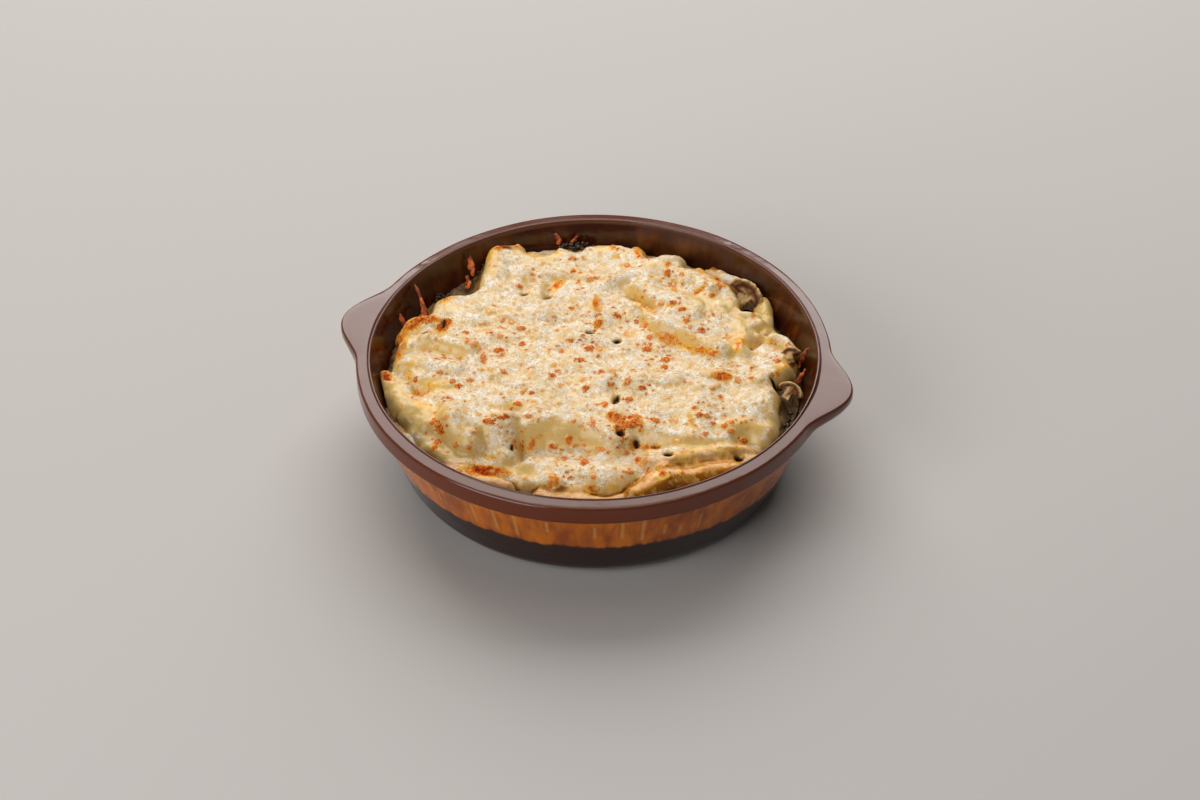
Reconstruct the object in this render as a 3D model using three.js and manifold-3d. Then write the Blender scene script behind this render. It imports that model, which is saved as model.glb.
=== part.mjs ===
// Baked pasta under melted cheese, in the round stoneware dish with two lugs that it was baked in.
// Millimetres, +Z up. The origin is the middle of the dish's foot, and the lugs lie along X.

import * as THREE from 'three';
import { mergeVertices } from 'three/addons/utils/BufferGeometryUtils.js';
import Module from 'manifold-3d';

// Dish
const dishHeight = 62;
const rimInnerRadius = 111.6;
const rimOuterRadius = 119;
const rimBandDrop = 1.8;
const rimRounding = 1.3;
const innerEdgeRounding = 0.8;
const collarDepth = 11;
const collarRounding = 0.8;
const wallTopRadius = 115;
const wallTopDepth = 12;
const wallFootRadius = 99.5;
const wallFootDepth = 54;
const footCornerRadius = 12;
const footRingWidth = 5;
const footRecess = 1.5;
const innerTaper = 0.35;
const innerCornerRadius = 10;
const floorThickness = 8;
const arcSteps = 3;
const dishSegments = 84;
const lugCrowding = 0.2;

// Lugs
const lugReach = 12.5;
const lugHalfAngle = THREE.MathUtils.degToRad(16);
const lugEdgeDepth = 7;
const lugUndersideSlope = 5;

// Gaps between neighbours, and what the wall's facets take
const gap = 0.35;
const facetAllowance = 0.15;
const cavitySegments = 72;
const aboveRim = dishHeight + 10;

// Pasta tubes
const tubeRadius = 4.9;
const boreRadius = 3.4;
const tubeSides = 8;
const endSlant = 0.35;

// Cheese
const cheeseThickness = 4;
const plateauHeight = 57;
const stepWidth = 12;
const edgeRounding = 5;
const foodSegments = 84;
const cheeseRings = 16;
const coreRings = 8;
const roomRings = 3;
const ringSpacing = [9, 3.5, 7];
const lastRingWidth = 2;
const coreSetback = 4;
const coreEdgeDrop = 7;
const coreEdgeWidth = 9;

// The food's surface by direction, in even steps from +X towards +Y: where the high middle ends,
// how far the cheese reaches, and how high its edge lies.
const middleReach = [
  94, 90, 76, 82, 90, 88, 90, 90, 90, 97, 85, 93, 93, 92, 86, 84, 76, 66, 52, 54, 60, 68, 88, 95,
];
const cheeseReach = [
  101, 100, 96, 87, 97, 97, 98, 98, 98, 103, 92, 100, 101, 102, 103, 102, 96, 87, 89, 89, 87, 85, 96, 102,
];
const edgeHeight = [
  52, 52, 53, 54, 56, 57, 57, 57, 57, 58, 56, 56, 55, 52, 48, 45, 43, 44, 47, 47, 48, 50, 50, 51,
];

// Ridges where the cheese lies over pasta tubes: the ends of each crest, its half width and its rise.
const ridges = [
  { from: [4, 56], to: [30, 27], halfWidth: 9, rise: 4 },
  { from: [28, 25], to: [60, 18], halfWidth: 8, rise: 4 },
  { from: [-96, -10], to: [-64, -3], halfWidth: 8, rise: 4.5 },
  { from: [-94, -30], to: [-64, -26], halfWidth: 8, rise: 4.5 },
  { from: [-86, -48], to: [-64, -60], halfWidth: 11, rise: 5 },
  { from: [-56, -70], to: [-32, -74], halfWidth: 10, rise: 4.5 },
  { from: [-22, -46], to: [24, -50], halfWidth: 9, rise: 2.5 },
  { from: [-14, -74], to: [36, -73], halfWidth: 10, rise: 4 },
  { from: [44, -58], to: [86, -45], halfWidth: 8, rise: 4.5 },
  { from: [74, 60], to: [71, 26], halfWidth: 8, rise: 3 },
  { from: [80, 2], to: [94, 12], halfWidth: 7, rise: 3.5 },
  { from: [78, 36], to: [92, 28], halfWidth: 7, rise: 3.5 },
  { from: [-69, 74], to: [-63, 48], halfWidth: 9, rise: 2.5 },
  { from: [-50, 62], to: [-20, 70], halfWidth: 9, rise: 2.5 },
  { from: [10, 84], to: [44, 74], halfWidth: 9, rise: 3 },
  { from: [60, -20], to: [92, -28], halfWidth: 10, rise: 3 },
  { from: [-48, 24], to: [-20, 34], halfWidth: 9, rise: 2.5 },
  { from: [-44, -22], to: [-14, -30], halfWidth: 9, rise: 2.5 },
  { from: [10, -14], to: [44, -4], halfWidth: 9, rise: 2.5 },
  { from: [-94, 6], to: [-78, 14], halfWidth: 8, rise: 4 },
];

// Pasta tubes that show round the cheese: the ends of each axis.
const showingTubes = [
  { from: [39, -83, 48.5], to: [84, -56, 49.5] },
  { from: [45, -64, 48.5], to: [90, -46, 49] },
  { from: [-2, -93, 43], to: [34, -91, 45] },
  { from: [-54, -84, 43], to: [-20, -90, 46] },
  { from: [-102, -27, 53], to: [-88, -56, 44] },
  { from: [-99, 2, 52], to: [-80, 20, 53] },
  { from: [-93, 33, 50], to: [-72, 40, 52] },
  { from: [-72, 72, 54], to: [-66, 44, 52] },
  { from: [-1, 102, 54], to: [5, 76, 53] },
  { from: [19, 101, 53], to: [11, 76, 52] },
  { from: [36, 97, 53], to: [30, 74, 52] },
  { from: [74, 56, 50], to: [94, 36, 50] },
  { from: [89, 22, 47], to: [101, 34, 48] },
  { from: [90, -46, 44], to: [102, -8, 45] },
  { from: [-27, 100, 50], to: [-58, 86, 51] },
  { from: [-82, 60, 45], to: [-96, 36, 44] },
  { from: [60, 84, 49], to: [40, 96, 48] },
  { from: [-72, -74, 40], to: [-92, -46, 41] },
  { from: [66, -78, 40], to: [92, -48, 41] },
  { from: [4, -103, 37], to: [44, -92, 38] },
  { from: [-58, -86, 36], to: [-14, -101, 37] },
  { from: [102, 8, 43], to: [94, 44, 43] },
];

// Browned shreds of cheese that rise from the pasta against the wall: foot and tip.
const shredWidth = 3;
const shredThickness = 1.4;
const shredTipShare = 0.4;
const wallShreds = [
  { from: [-96, 23, 48], to: [-103.4, 37.4, 60.5] },
  { from: [-99, 7, 47], to: [-106, 12, 58] },
  { from: [-79, 63, 49], to: [-84.4, 68.2, 59] },
  { from: [98, 28, 47], to: [103.4, 35, 58] },
];

// Mushroom pieces: the middle, the size and the turn about each axis in degrees.
// The shares are of a slice's width, or for the tuck of the cap's half width.
const capHeightShare = 0.36;
const capTuckShare = 0.92;
const stemWidthShare = 0.32;
const stemLengthShare = 0.34;
const capSteps = 10;
const mushroomPieces = [
  { name: 'mushroom_slice', at: [62, 73.5, 52.8], width: 23, thickness: 6, turn: [50, 8, -38] },
  { name: 'mushroom_piece_1', at: [94, 29, 54.5], width: 12, thickness: 6, turn: [44, 0, 30] },
  { name: 'mushroom_piece_2', at: [99.5, 4, 52.5], width: 13, thickness: 6, turn: [50, 0, -20] },
];

const mergeDistance = 1e-4;
const wasm = await Module();
wasm.setup();

// Gives the closed solid that a geometry encloses.
function solidFrom(geometry) {
  const bare = geometry.index ? geometry.toNonIndexed() : geometry.clone();
  bare.deleteAttribute('normal');
  bare.deleteAttribute('uv');
  const merged = mergeVertices(bare, mergeDistance);
  const index = merged.index.array;
  const corners = [];
  for (let i = 0; i < index.length; i += 3) {
    const [a, b, c] = [index[i], index[i + 1], index[i + 2]];
    if (a !== b && b !== c && c !== a) corners.push(a, b, c);
  }
  const vertProperties = new Float32Array(merged.attributes.position.array);
  const triVerts = new Uint32Array(corners);
  return new wasm.Manifold(new wasm.Mesh({ numProp: 3, vertProperties, triVerts }));
}

// Gives the outer shell of a solid as a geometry, without loose scraps and sealed hollows.
function geometryFrom(solid) {
  const mesh = solid.getMesh();
  const { numProp, vertProperties, triVerts } = mesh;
  const count = vertProperties.length / numProp;
  const position = new Float32Array(count * 3);
  for (let i = 0; i < count; i++) {
    for (let k = 0; k < 3; k++) position[3 * i + k] = vertProperties[i * numProp + k];
  }
  const parent = Array.from({ length: count }, (_, i) => i);
  const root = (i) => {
    while (parent[i] !== i) {
      parent[i] = parent[parent[i]];
      i = parent[i];
    }
    return i;
  };
  for (let i = 0; i < triVerts.length; i += 3) {
    parent[root(triVerts[i])] = root(triVerts[i + 1]);
    parent[root(triVerts[i + 1])] = root(triVerts[i + 2]);
  }
  const shells = new Map();
  const corner = (v) => new THREE.Vector3().fromArray(position, 3 * v);
  for (let i = 0; i < triVerts.length; i += 3) {
    const [a, b, c] = [triVerts[i], triVerts[i + 1], triVerts[i + 2]];
    const shell = shells.get(root(a)) ?? { volume: 0, corners: [] };
    shell.volume += corner(a).dot(corner(b).cross(corner(c))) / 6;
    shell.corners.push(a, b, c);
    shells.set(root(a), shell);
  }
  const largest = [...shells.values()].reduce((best, shell) => (shell.volume > best.volume ? shell : best));
  const geometry = new THREE.BufferGeometry();
  geometry.setAttribute('position', new THREE.BufferAttribute(position, 3));
  geometry.setIndex(largest.corners);
  return geometry.toNonIndexed();
}

// Moves every vertex of a geometry by a function.
function reshape(geometry, move) {
  const position = geometry.attributes.position;
  const point = new THREE.Vector3();
  for (let i = 0; i < position.count; i++) {
    point.fromBufferAttribute(position, i);
    move(point);
    position.setXYZ(i, point.x, point.y, point.z);
  }
  return geometry;
}

// Spins a profile of [radius, height] pairs about Z. It runs from the axis below to the axis above.
function spin(profile, segments) {
  const points = profile.map(([radius, height]) => new THREE.Vector2(radius, height));
  return new THREE.LatheGeometry(points, segments).rotateX(Math.PI / 2);
}

// Gives the points of an arc in a profile, angles in degrees.
function arc(centreRadius, centreHeight, radius, start, end, steps) {
  const points = [];
  for (let i = 0; i <= steps; i++) {
    const angle = THREE.MathUtils.degToRad(start + ((end - start) * i) / steps);
    points.push([centreRadius + radius * Math.cos(angle), centreHeight + radius * Math.sin(angle)]);
  }
  return points;
}

// The dish's inner wall, with a clearance to it, from the axis at the floor up to a height.
function cavityProfile(clearance, top) {
  const slope = Math.atan(innerTaper);
  const slopeDegrees = THREE.MathUtils.radToDeg(slope);
  const centreHeight = floorThickness + innerCornerRadius;
  const tangentHeight = centreHeight - innerCornerRadius * Math.sin(slope);
  const tangentRadius = rimInnerRadius - innerTaper * (dishHeight - tangentHeight);
  const centreRadius = tangentRadius - innerCornerRadius * Math.cos(slope);
  const bend = arc(centreRadius, centreHeight, innerCornerRadius - clearance, -90, -slopeDegrees, arcSteps);
  const topRadius = rimInnerRadius - innerTaper * (dishHeight - top) - clearance;
  return [[0, floorThickness + clearance], ...bend, [topRadius, top]];
}

// How far a lug pushes the rim out in a direction.
function lugAt(angle) {
  const fromAxis = Math.abs(Math.atan2(Math.sin(2 * angle), Math.cos(2 * angle))) / 2;
  return fromAxis < lugHalfAngle ? lugReach * Math.cos((Math.PI * fromAxis) / (2 * lugHalfAngle)) ** 2 : 0;
}

function dishGeometry() {
  const slope = Math.atan((wallTopRadius - wallFootRadius) / (wallFootDepth - wallTopDepth));
  const slopeDegrees = THREE.MathUtils.radToDeg(slope);
  const footCentre = wallFootRadius - footCornerRadius * Math.cos(slope);
  const outside = [
    [0, footRecess],
    [footCentre - footRingWidth - footRecess, footRecess],
    [footCentre - footRingWidth, 0],
    ...arc(footCentre, footCornerRadius, footCornerRadius, -90, -slopeDegrees, arcSteps),
    [wallTopRadius, dishHeight - wallTopDepth],
    [rimOuterRadius - collarRounding, dishHeight - collarDepth + collarRounding],
    [rimOuterRadius, dishHeight - lugEdgeDepth],
    [rimOuterRadius, dishHeight - rimBandDrop - rimRounding],
    [rimOuterRadius - rimRounding, dishHeight - rimBandDrop],
    [rimInnerRadius + innerEdgeRounding, dishHeight],
    [rimInnerRadius, dishHeight - innerEdgeRounding],
  ];
  const inside = cavityProfile(0, dishHeight - 2 * innerEdgeRounding).reverse();
  const geometry = spin([...outside, ...inside], dishSegments);
  return reshape(geometry, (point) => {
    const radius = Math.hypot(point.x, point.y);
    const even = Math.atan2(point.y, point.x);
    const angle = even - lugCrowding * Math.sin(2 * even);
    const depth = dishHeight - point.z;
    const isOuter = radius > (rimInnerRadius + rimOuterRadius) / 2;
    const inLug = isOuter ? THREE.MathUtils.smoothstep(collarDepth - depth, 0, lugUndersideSlope) : 0;
    const reach = radius + lugAt(angle) * inLug;
    point.x = reach * Math.cos(angle);
    point.y = reach * Math.sin(angle);
  });
}

// Reads a closed row of values by direction, smoothly between its steps.
function around(values, angle) {
  const step = (((angle / (2 * Math.PI)) % 1) + 1) % 1 * values.length;
  const first = Math.floor(step);
  const t = step - first;
  const at = (k) => values[(first + k + values.length) % values.length];
  const [a, b, c, d] = [at(-1), at(0), at(1), at(2)];
  return b + 0.5 * t * (c - a + t * (2 * a - 5 * b + 4 * c - d + t * (3 * (b - c) + d - a)));
}

// How far a point lies from a ridge's crest.
function fromCrest(x, y, { from, to }) {
  const [runX, runY] = [to[0] - from[0], to[1] - from[1]];
  const share = ((x - from[0]) * runX + (y - from[1]) * runY) / (runX ** 2 + runY ** 2);
  const t = THREE.MathUtils.clamp(share, 0, 1);
  return Math.hypot(x - from[0] - t * runX, y - from[1] - t * runY);
}

// The height of the food's surface without ridges: the high middle, the step and the edge.
function foodHeight(x, y) {
  const radius = Math.hypot(x, y);
  const angle = Math.atan2(y, x);
  const inner = around(middleReach, angle);
  const fall = THREE.MathUtils.smoothstep(radius, inner - stepWidth / 2, inner + stepWidth / 2);
  return plateauHeight + (around(edgeHeight, angle) - plateauHeight) * fall;
}

// The height of the cheese's top face.
function cheeseHeight(x, y) {
  const rises = ridges.map((ridge) => {
    const share = Math.min(1, fromCrest(x, y, ridge) / ridge.halfWidth);
    return ridge.rise * (1 - share ** 2) ** 2;
  });
  return foodHeight(x, y) + Math.max(...rises);
}

// Where a ring lies in a direction, from its share of the rings. The rings crowd on the step.
function ringRadius(share, angle, reach) {
  const inner = around(middleReach, angle);
  const stops = [0, inner - stepWidth / 2, Math.min(inner + stepWidth / 2, reach - lastRingWidth), reach];
  const shares = [0];
  for (let k = 0; k < 3; k++) shares.push(shares[k] + (stops[k + 1] - stops[k]) / ringSpacing[k]);
  const place = share * shares[3];
  const k = place < shares[1] ? 0 : place < shares[2] ? 1 : 2;
  return stops[k] + (place - shares[k]) * ringSpacing[k];
}

// A solid whose top face follows a height function inside an outline, with a wall down to a bottom.
// It starts as a disc of radius 1 and height 1.
function mound(reachAt, heightAt, rings, bottom) {
  const profile = [[0, bottom], [1, bottom]];
  for (let i = rings; i >= 0; i--) profile.push([i / rings, bottom + 1]);
  return reshape(spin(profile, foodSegments), (point) => {
    const share = Math.hypot(point.x, point.y);
    const angle = Math.atan2(point.y, point.x);
    const radius = ringRadius(share, angle, reachAt(angle));
    const isTop = point.z > bottom + 0.5;
    point.x = radius * Math.cos(angle);
    point.y = radius * Math.sin(angle);
    if (isTop) point.z = heightAt(point.x, point.y, angle, radius);
  });
}

// The cheese down to below the pasta, larger all round by a margin.
function cheeseMound(margin) {
  const bottom = dishHeight / 2;
  const reach = (angle) => around(cheeseReach, angle) + margin;
  return solidFrom(mound(reach, (x, y, angle, radius) => {
    const inside = THREE.MathUtils.clamp((reach(angle) - radius) / edgeRounding, 0, 1);
    return cheeseHeight(x, y) + margin - ((1 - Math.sqrt(1 - (1 - inside) ** 2)) * edgeRounding) / 2;
  }, cheeseRings, bottom));
}

// The packed pasta under the cheese, larger on top by a margin. Its step lies further in than the cheese's.
function coreMound(margin) {
  return solidFrom(mound(() => rimInnerRadius, (x, y, angle, radius) => {
    const outer = (radius + coreSetback) / Math.max(radius, 1);
    const edge = around(cheeseReach, angle);
    const drop = coreEdgeDrop * THREE.MathUtils.smoothstep(radius, edge, edge + coreEdgeWidth);
    return foodHeight(x * outer, y * outer) - cheeseThickness - drop + margin;
  }, coreRings, floorThickness / 2));
}

// Turns a geometry from the Z axis to the line between two points.
function along(geometry, from, to) {
  const start = new THREE.Vector3(...from);
  const end = new THREE.Vector3(...to);
  const direction = end.clone().sub(start).normalize();
  geometry.applyQuaternion(new THREE.Quaternion().setFromUnitVectors(new THREE.Vector3(0, 0, 1), direction));
  return geometry.translate(...start.add(end).multiplyScalar(0.5).toArray());
}

// A pasta tube with slanted ends.
function pastaTube({ from, to }) {
  const length = Math.hypot(to[0] - from[0], to[1] - from[1], to[2] - from[2]);
  const slanted = (radius, reach) => {
    const bar = new THREE.CylinderGeometry(radius, radius, reach, tubeSides).rotateX(Math.PI / 2);
    return along(reshape(bar, (point) => {
      point.z += endSlant * point.x;
    }), from, to);
  };
  return solidFrom(slanted(tubeRadius, length)).subtract(solidFrom(slanted(boreRadius, length + 2)));
}

// A strip of cheese that narrows to its tip.
function cheeseShred({ from, to }) {
  const length = Math.hypot(to[0] - from[0], to[1] - from[1], to[2] - from[2]);
  const strip = new THREE.BoxGeometry(shredWidth, shredThickness, length);
  return solidFrom(along(reshape(strip, (point) => {
    if (point.z > 0) point.x *= shredTipShare;
  }), from, to));
}

// A slice through a mushroom: the cap's outline with the stem below it.
function mushroomGeometry({ at, width, thickness, turn }, margin) {
  const capRadius = width / 2 + margin;
  const capHeight = width * capHeightShare + margin;
  const tuck = capRadius * capTuckShare;
  const stemHalf = (width * stemWidthShare) / 2 + margin;
  const stemLength = width * stemLengthShare + margin;
  const outline = new THREE.Shape();
  outline.moveTo(-stemHalf, -stemLength);
  outline.lineTo(stemHalf, -stemLength);
  outline.lineTo(stemHalf, -margin);
  outline.lineTo(tuck, -margin);
  outline.absellipse(0, 0, capRadius, capHeight, 0, Math.PI, false);
  outline.lineTo(-tuck, -margin);
  outline.lineTo(-stemHalf, -margin);
  const depth = thickness + 2 * margin;
  const slice = new THREE.ExtrudeGeometry(outline, { depth, bevelEnabled: false, curveSegments: capSteps });
  slice.translate(0, 0, -depth / 2);
  const angles = turn.map((degrees) => THREE.MathUtils.degToRad(degrees));
  slice.applyMatrix4(new THREE.Matrix4().makeRotationFromEuler(new THREE.Euler(...angles)));
  return slice.translate(...at);
}

// The space inside the dish, and the space over and under the cheese that the edge's pasta keeps out of.
const cavityOutline = [...cavityProfile(gap + facetAllowance, aboveRim), [0, aboveRim]];
const cavity = solidFrom(spin(cavityOutline, cavitySegments));
const roomReach = (angle) => around(cheeseReach, angle) + gap;
const cheeseRoom = solidFrom(mound(roomReach, () => aboveRim, roomRings, dishHeight / 2));

let cheese = cheeseMound(0).subtract(coreMound(gap));
let heap = coreMound(0).intersect(cavity);
for (const tube of showingTubes) {
  heap = heap.add(pastaTube(tube).intersect(cavity).subtract(cheeseRoom));
}
for (const shred of wallShreds) {
  heap = heap.add(cheeseShred(shred).intersect(cavity).subtract(cheeseRoom));
}
for (const piece of mushroomPieces) {
  const room = solidFrom(mushroomGeometry(piece, gap));
  heap = heap.subtract(room);
  cheese = cheese.subtract(room);
}

const glazeBrown = new THREE.MeshStandardMaterial({ color: '#5a2c12', roughness: 0.15 });
const pastaYellow = new THREE.MeshStandardMaterial({ color: '#d9a94f', roughness: 0.45 });
const cheeseCream = new THREE.MeshStandardMaterial({ color: '#efdcae', roughness: 0.5 });
const mushroomBrown = new THREE.MeshStandardMaterial({ color: '#8a5f3c', roughness: 0.5 });

const model = new THREE.Group();

function addPiece(name, geometry, material) {
  geometry.computeVertexNormals();
  const piece = new THREE.Mesh(geometry, material);
  piece.name = name;
  model.add(piece);
}

addPiece('dish', dishGeometry(), glazeBrown);
addPiece('pasta_heap', geometryFrom(heap), pastaYellow);
addPiece('cheese_blanket', geometryFrom(cheese), cheeseCream);
for (const piece of mushroomPieces) {
  addPiece(piece.name, geometryFrom(solidFrom(mushroomGeometry(piece, 0))), mushroomBrown);
}

export default model;
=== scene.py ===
# Baked pasta under browned cheese, in a round stoneware dish with two lugs.
# Sizes in the dictionaries are millimetres unless a note says otherwise. Blender's own units are metres.
import math
import random

import bmesh
import bpy
import numpy as np
from mathutils import Matrix, Quaternion, Vector


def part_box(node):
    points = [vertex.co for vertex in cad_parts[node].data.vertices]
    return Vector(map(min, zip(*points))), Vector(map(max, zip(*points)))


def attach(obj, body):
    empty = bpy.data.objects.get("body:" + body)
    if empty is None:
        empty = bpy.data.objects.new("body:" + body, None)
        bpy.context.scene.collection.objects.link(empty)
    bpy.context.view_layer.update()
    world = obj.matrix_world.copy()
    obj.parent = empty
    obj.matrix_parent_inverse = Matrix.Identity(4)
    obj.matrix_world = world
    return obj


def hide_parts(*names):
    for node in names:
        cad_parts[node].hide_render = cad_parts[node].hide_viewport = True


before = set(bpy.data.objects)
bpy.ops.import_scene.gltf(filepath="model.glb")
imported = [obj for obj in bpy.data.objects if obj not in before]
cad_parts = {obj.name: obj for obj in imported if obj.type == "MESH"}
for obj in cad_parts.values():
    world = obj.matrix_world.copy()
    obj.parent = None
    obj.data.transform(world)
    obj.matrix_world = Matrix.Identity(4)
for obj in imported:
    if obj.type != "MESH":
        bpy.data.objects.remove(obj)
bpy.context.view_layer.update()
mm = 0.001
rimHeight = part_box("dish")[1].z / mm
random.seed(7)
print("frame loaded, rim at", round(rimHeight, 1), "mm")


# Mesh helpers. Points are numpy arrays in millimetres.


def readPoints(verts):
    return np.array([vert.co for vert in verts]) / mm


def writePoints(verts, points):
    for vert, point in zip(verts, points):
        vert.co = Vector(point) * mm


def readMesh(mesh, source="vertices", field="co"):
    values = np.empty(3 * len(mesh.vertices))
    getattr(mesh, source).foreach_get(field, values)
    return values.reshape(-1, 3)


def writeMesh(mesh, points):
    mesh.vertices.foreach_set("co", (points * mm).ravel())
    mesh.update()


def paint(mesh, name, values):
    mesh.attributes.new(name, "FLOAT", "POINT").data.foreach_set("value", np.asarray(values, np.float32))


def meshOf(bm, name):
    mesh = bpy.data.meshes.new(name)
    bm.to_mesh(mesh)
    bm.free()
    return mesh


def writeLayer(bm, name, values):
    layer = bm.verts.layers.float.get(name) or bm.verts.layers.float.new(name)
    for vert, value in zip(bm.verts, values):
        vert[layer] = float(value)


shuffled = np.random.default_rng(7).permutation(256)
slopes = np.random.default_rng(8).normal(size=(256, 3))
slopes /= np.linalg.norm(slopes, axis=1)[:, None]


def latticeNoise(points):
    cell = np.floor(points).astype(int)
    part = points - cell
    fade = part**3 * (part * (part * 6 - 15) + 10)
    total = np.zeros(len(points))
    for corner in np.ndindex(2, 2, 2):
        i, j, k = (cell + corner).T
        slope = slopes[shuffled[(shuffled[(shuffled[i & 255] + j) & 255] + k) & 255]]
        share = np.where(corner, fade, 1 - fade).prod(axis=1)
        total += share * ((part - corner) * slope).sum(axis=1)
    return total


def noiseAt(points, size, octaves=3, shift=0.0):
    place = np.asarray(points, float) / size + shift * np.array([1.3, 2.1, -0.7])
    total = np.zeros(len(place))
    for octave in range(octaves):
        total += latticeNoise(place * 2**octave) * 1.7 * 0.55**octave
    return total


def smoothStep(value, low, high):
    t = np.clip((value - low) / (high - low), 0, 1)
    return t * t * (3 - 2 * t)


def smoothMax(a, b, blend):
    share = np.clip(0.5 + 0.5 * (a - b) / blend, 0, 1)
    return b + (a - b) * share + blend * share * (1 - share)


def smoothVerts(bm, rounds):
    for _ in range(rounds):
        bmesh.ops.smooth_vert(
            bm, verts=bm.verts, factor=0.5, use_axis_x=True, use_axis_y=True, use_axis_z=True
        )


def addObject(name, data):
    thing = bpy.data.objects.new(name, data)
    bpy.context.scene.collection.objects.link(thing)
    return thing


# Moves points built along Z so that they run from one place to another.


def laidAlong(points, start, end):
    turn = Vector((0, 0, 1)).rotation_difference((end - start).normalized()).to_matrix()
    return points @ np.array(turn).T + np.array((start + end) / 2)


def keepPiece(mesh, material, standsFor=()):
    mesh.materials.append(material)
    mesh.shade_smooth()
    piece = addObject(mesh.name, mesh)
    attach(piece, "root")
    if standsFor:
        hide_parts(*standsFor)
    print(mesh.name, len(mesh.polygons), "faces")


def addTo(bm, part):
    mesh = bpy.data.meshes.new("part")
    part.to_mesh(mesh)
    part.free()
    bm.from_mesh(mesh)
    bpy.data.meshes.remove(mesh)


# Node helpers. Colours are written as the usual 0 to 255. A Wire is a shader value: its sums, differences
# and products are Math nodes.


def colour(red, green, blue):
    def linear(value):
        value /= 255
        return value / 12.92 if value <= 0.04045 else ((value + 0.055) / 1.055) ** 2.4

    return (linear(red), linear(green), linear(blue), 1.0)


class Wire:
    def __init__(self, socket):
        self.socket = socket
        self.tree = socket.id_data

    def __add__(self, other):
        return maths("ADD", self, other)

    def __sub__(self, other):
        return maths("SUBTRACT", self, other)

    def __rsub__(self, other):
        return maths("SUBTRACT", other, self)

    def __mul__(self, other):
        return maths("MULTIPLY", self, other)


def fill(node, inputs):
    for key, value in inputs.items():
        if isinstance(value, Wire):
            node.id_data.links.new(value.socket, node.inputs[key])
        else:
            node.inputs[key].default_value = value


def put(tree, kind, inputs=None, **settings):
    node = tree.nodes.new("ShaderNode" + kind)
    for key, value in settings.items():
        setattr(node, key, value)
    fill(node, inputs or {})
    return node


def outOf(node, key=0):
    return Wire(node.outputs[key])


def maths(operation, a, b=0.0):
    tree = (a if isinstance(a, Wire) else b).tree
    return outOf(put(tree, "Math", {0: a, 1: b}, operation=operation))


def steps(value, low, high, start=0.0, end=1.0):
    inputs = {"Value": value, "From Min": low, "From Max": high, "To Min": start, "To Max": end}
    return outOf(put(value.tree, "MapRange", inputs, interpolation_type="SMOOTHSTEP"))


def mix(share, a, b):
    a, b = (colour(*tint) if isinstance(tint, tuple) else tint for tint in (a, b))
    return outOf(put(share.tree, "Mix", {0: share, 6: a, 7: b}, data_type="RGBA"), 2)


def inMillimetres(tree):
    place = outOf(put(tree, "TexCoord"), "Object")
    return outOf(put(tree, "VectorMath", {0: place, "Scale": 1 / mm}, operation="SCALE"))


def noiseOf(place, size, detail=3.0, distortion=0.0, roughness=0.5):
    inputs = {
        "Vector": place,
        "Scale": 1 / size,
        "Detail": detail,
        "Roughness": roughness,
        "Distortion": distortion,
    }
    return outOf(put(place.tree, "TexNoise", inputs))


def attribute(tree, name):
    return outOf(put(tree, "Attribute", attribute_name=name), "Fac")


def stretched(place, x, y, z):
    return outOf(put(place.tree, "VectorMath", {0: place, 1: (x, y, z)}, operation="MULTIPLY"))


def bumpOf(height, strength, distance):
    inputs = {"Strength": strength, "Distance": distance * mm, "Height": height}
    return outOf(put(height.tree, "Bump", inputs))


def newMaterial(name):
    material = bpy.data.materials.new(name)
    material.use_nodes = True
    tree = material.node_tree
    tree.nodes.clear()
    shader = put(tree, "BsdfPrincipled")
    put(tree, "OutputMaterial", {"Surface": outOf(shader)})
    return material, tree, shader


def feed(shader, **inputs):
    names = {
        "baseColor": "Base Color",
        "roughness": "Roughness",
        "normal": "Normal",
        "ior": "IOR",
        "gloss": "Specular IOR Level",
        "coat": "Coat Weight",
        "coatRoughness": "Coat Roughness",
        "soft": "Subsurface Weight",
        "softReach": "Subsurface Radius",
        "softScale": "Subsurface Scale",
    }
    fill(shader, {names[key]: value for key, value in inputs.items()})


def newGroup(name, inputs, outputs):
    group = bpy.data.node_groups.new(name, "ShaderNodeTree")
    for way, sockets in (("INPUT", inputs), ("OUTPUT", outputs)):
        for label, kind in sockets.items():
            group.interface.new_socket(label, in_out=way, socket_type="NodeSocket" + kind)
    return group, {socket.name: Wire(socket) for socket in group.nodes.new("NodeGroupInput").outputs}


def closeGroup(group, results):
    fill(group.nodes.new("NodeGroupOutput"), results)
    return group


def useGroup(tree, group, inputs):
    node = put(tree, "Group", inputs, node_tree=group)
    return {socket.name: Wire(socket) for socket in node.outputs}


# Fine curdled grain of melted cheese and sauce: masks of pale threads that carry painted glints, of dark gaps
# that carry painted shade, and of the toasted outlines of small bubbles, and a height.


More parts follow.
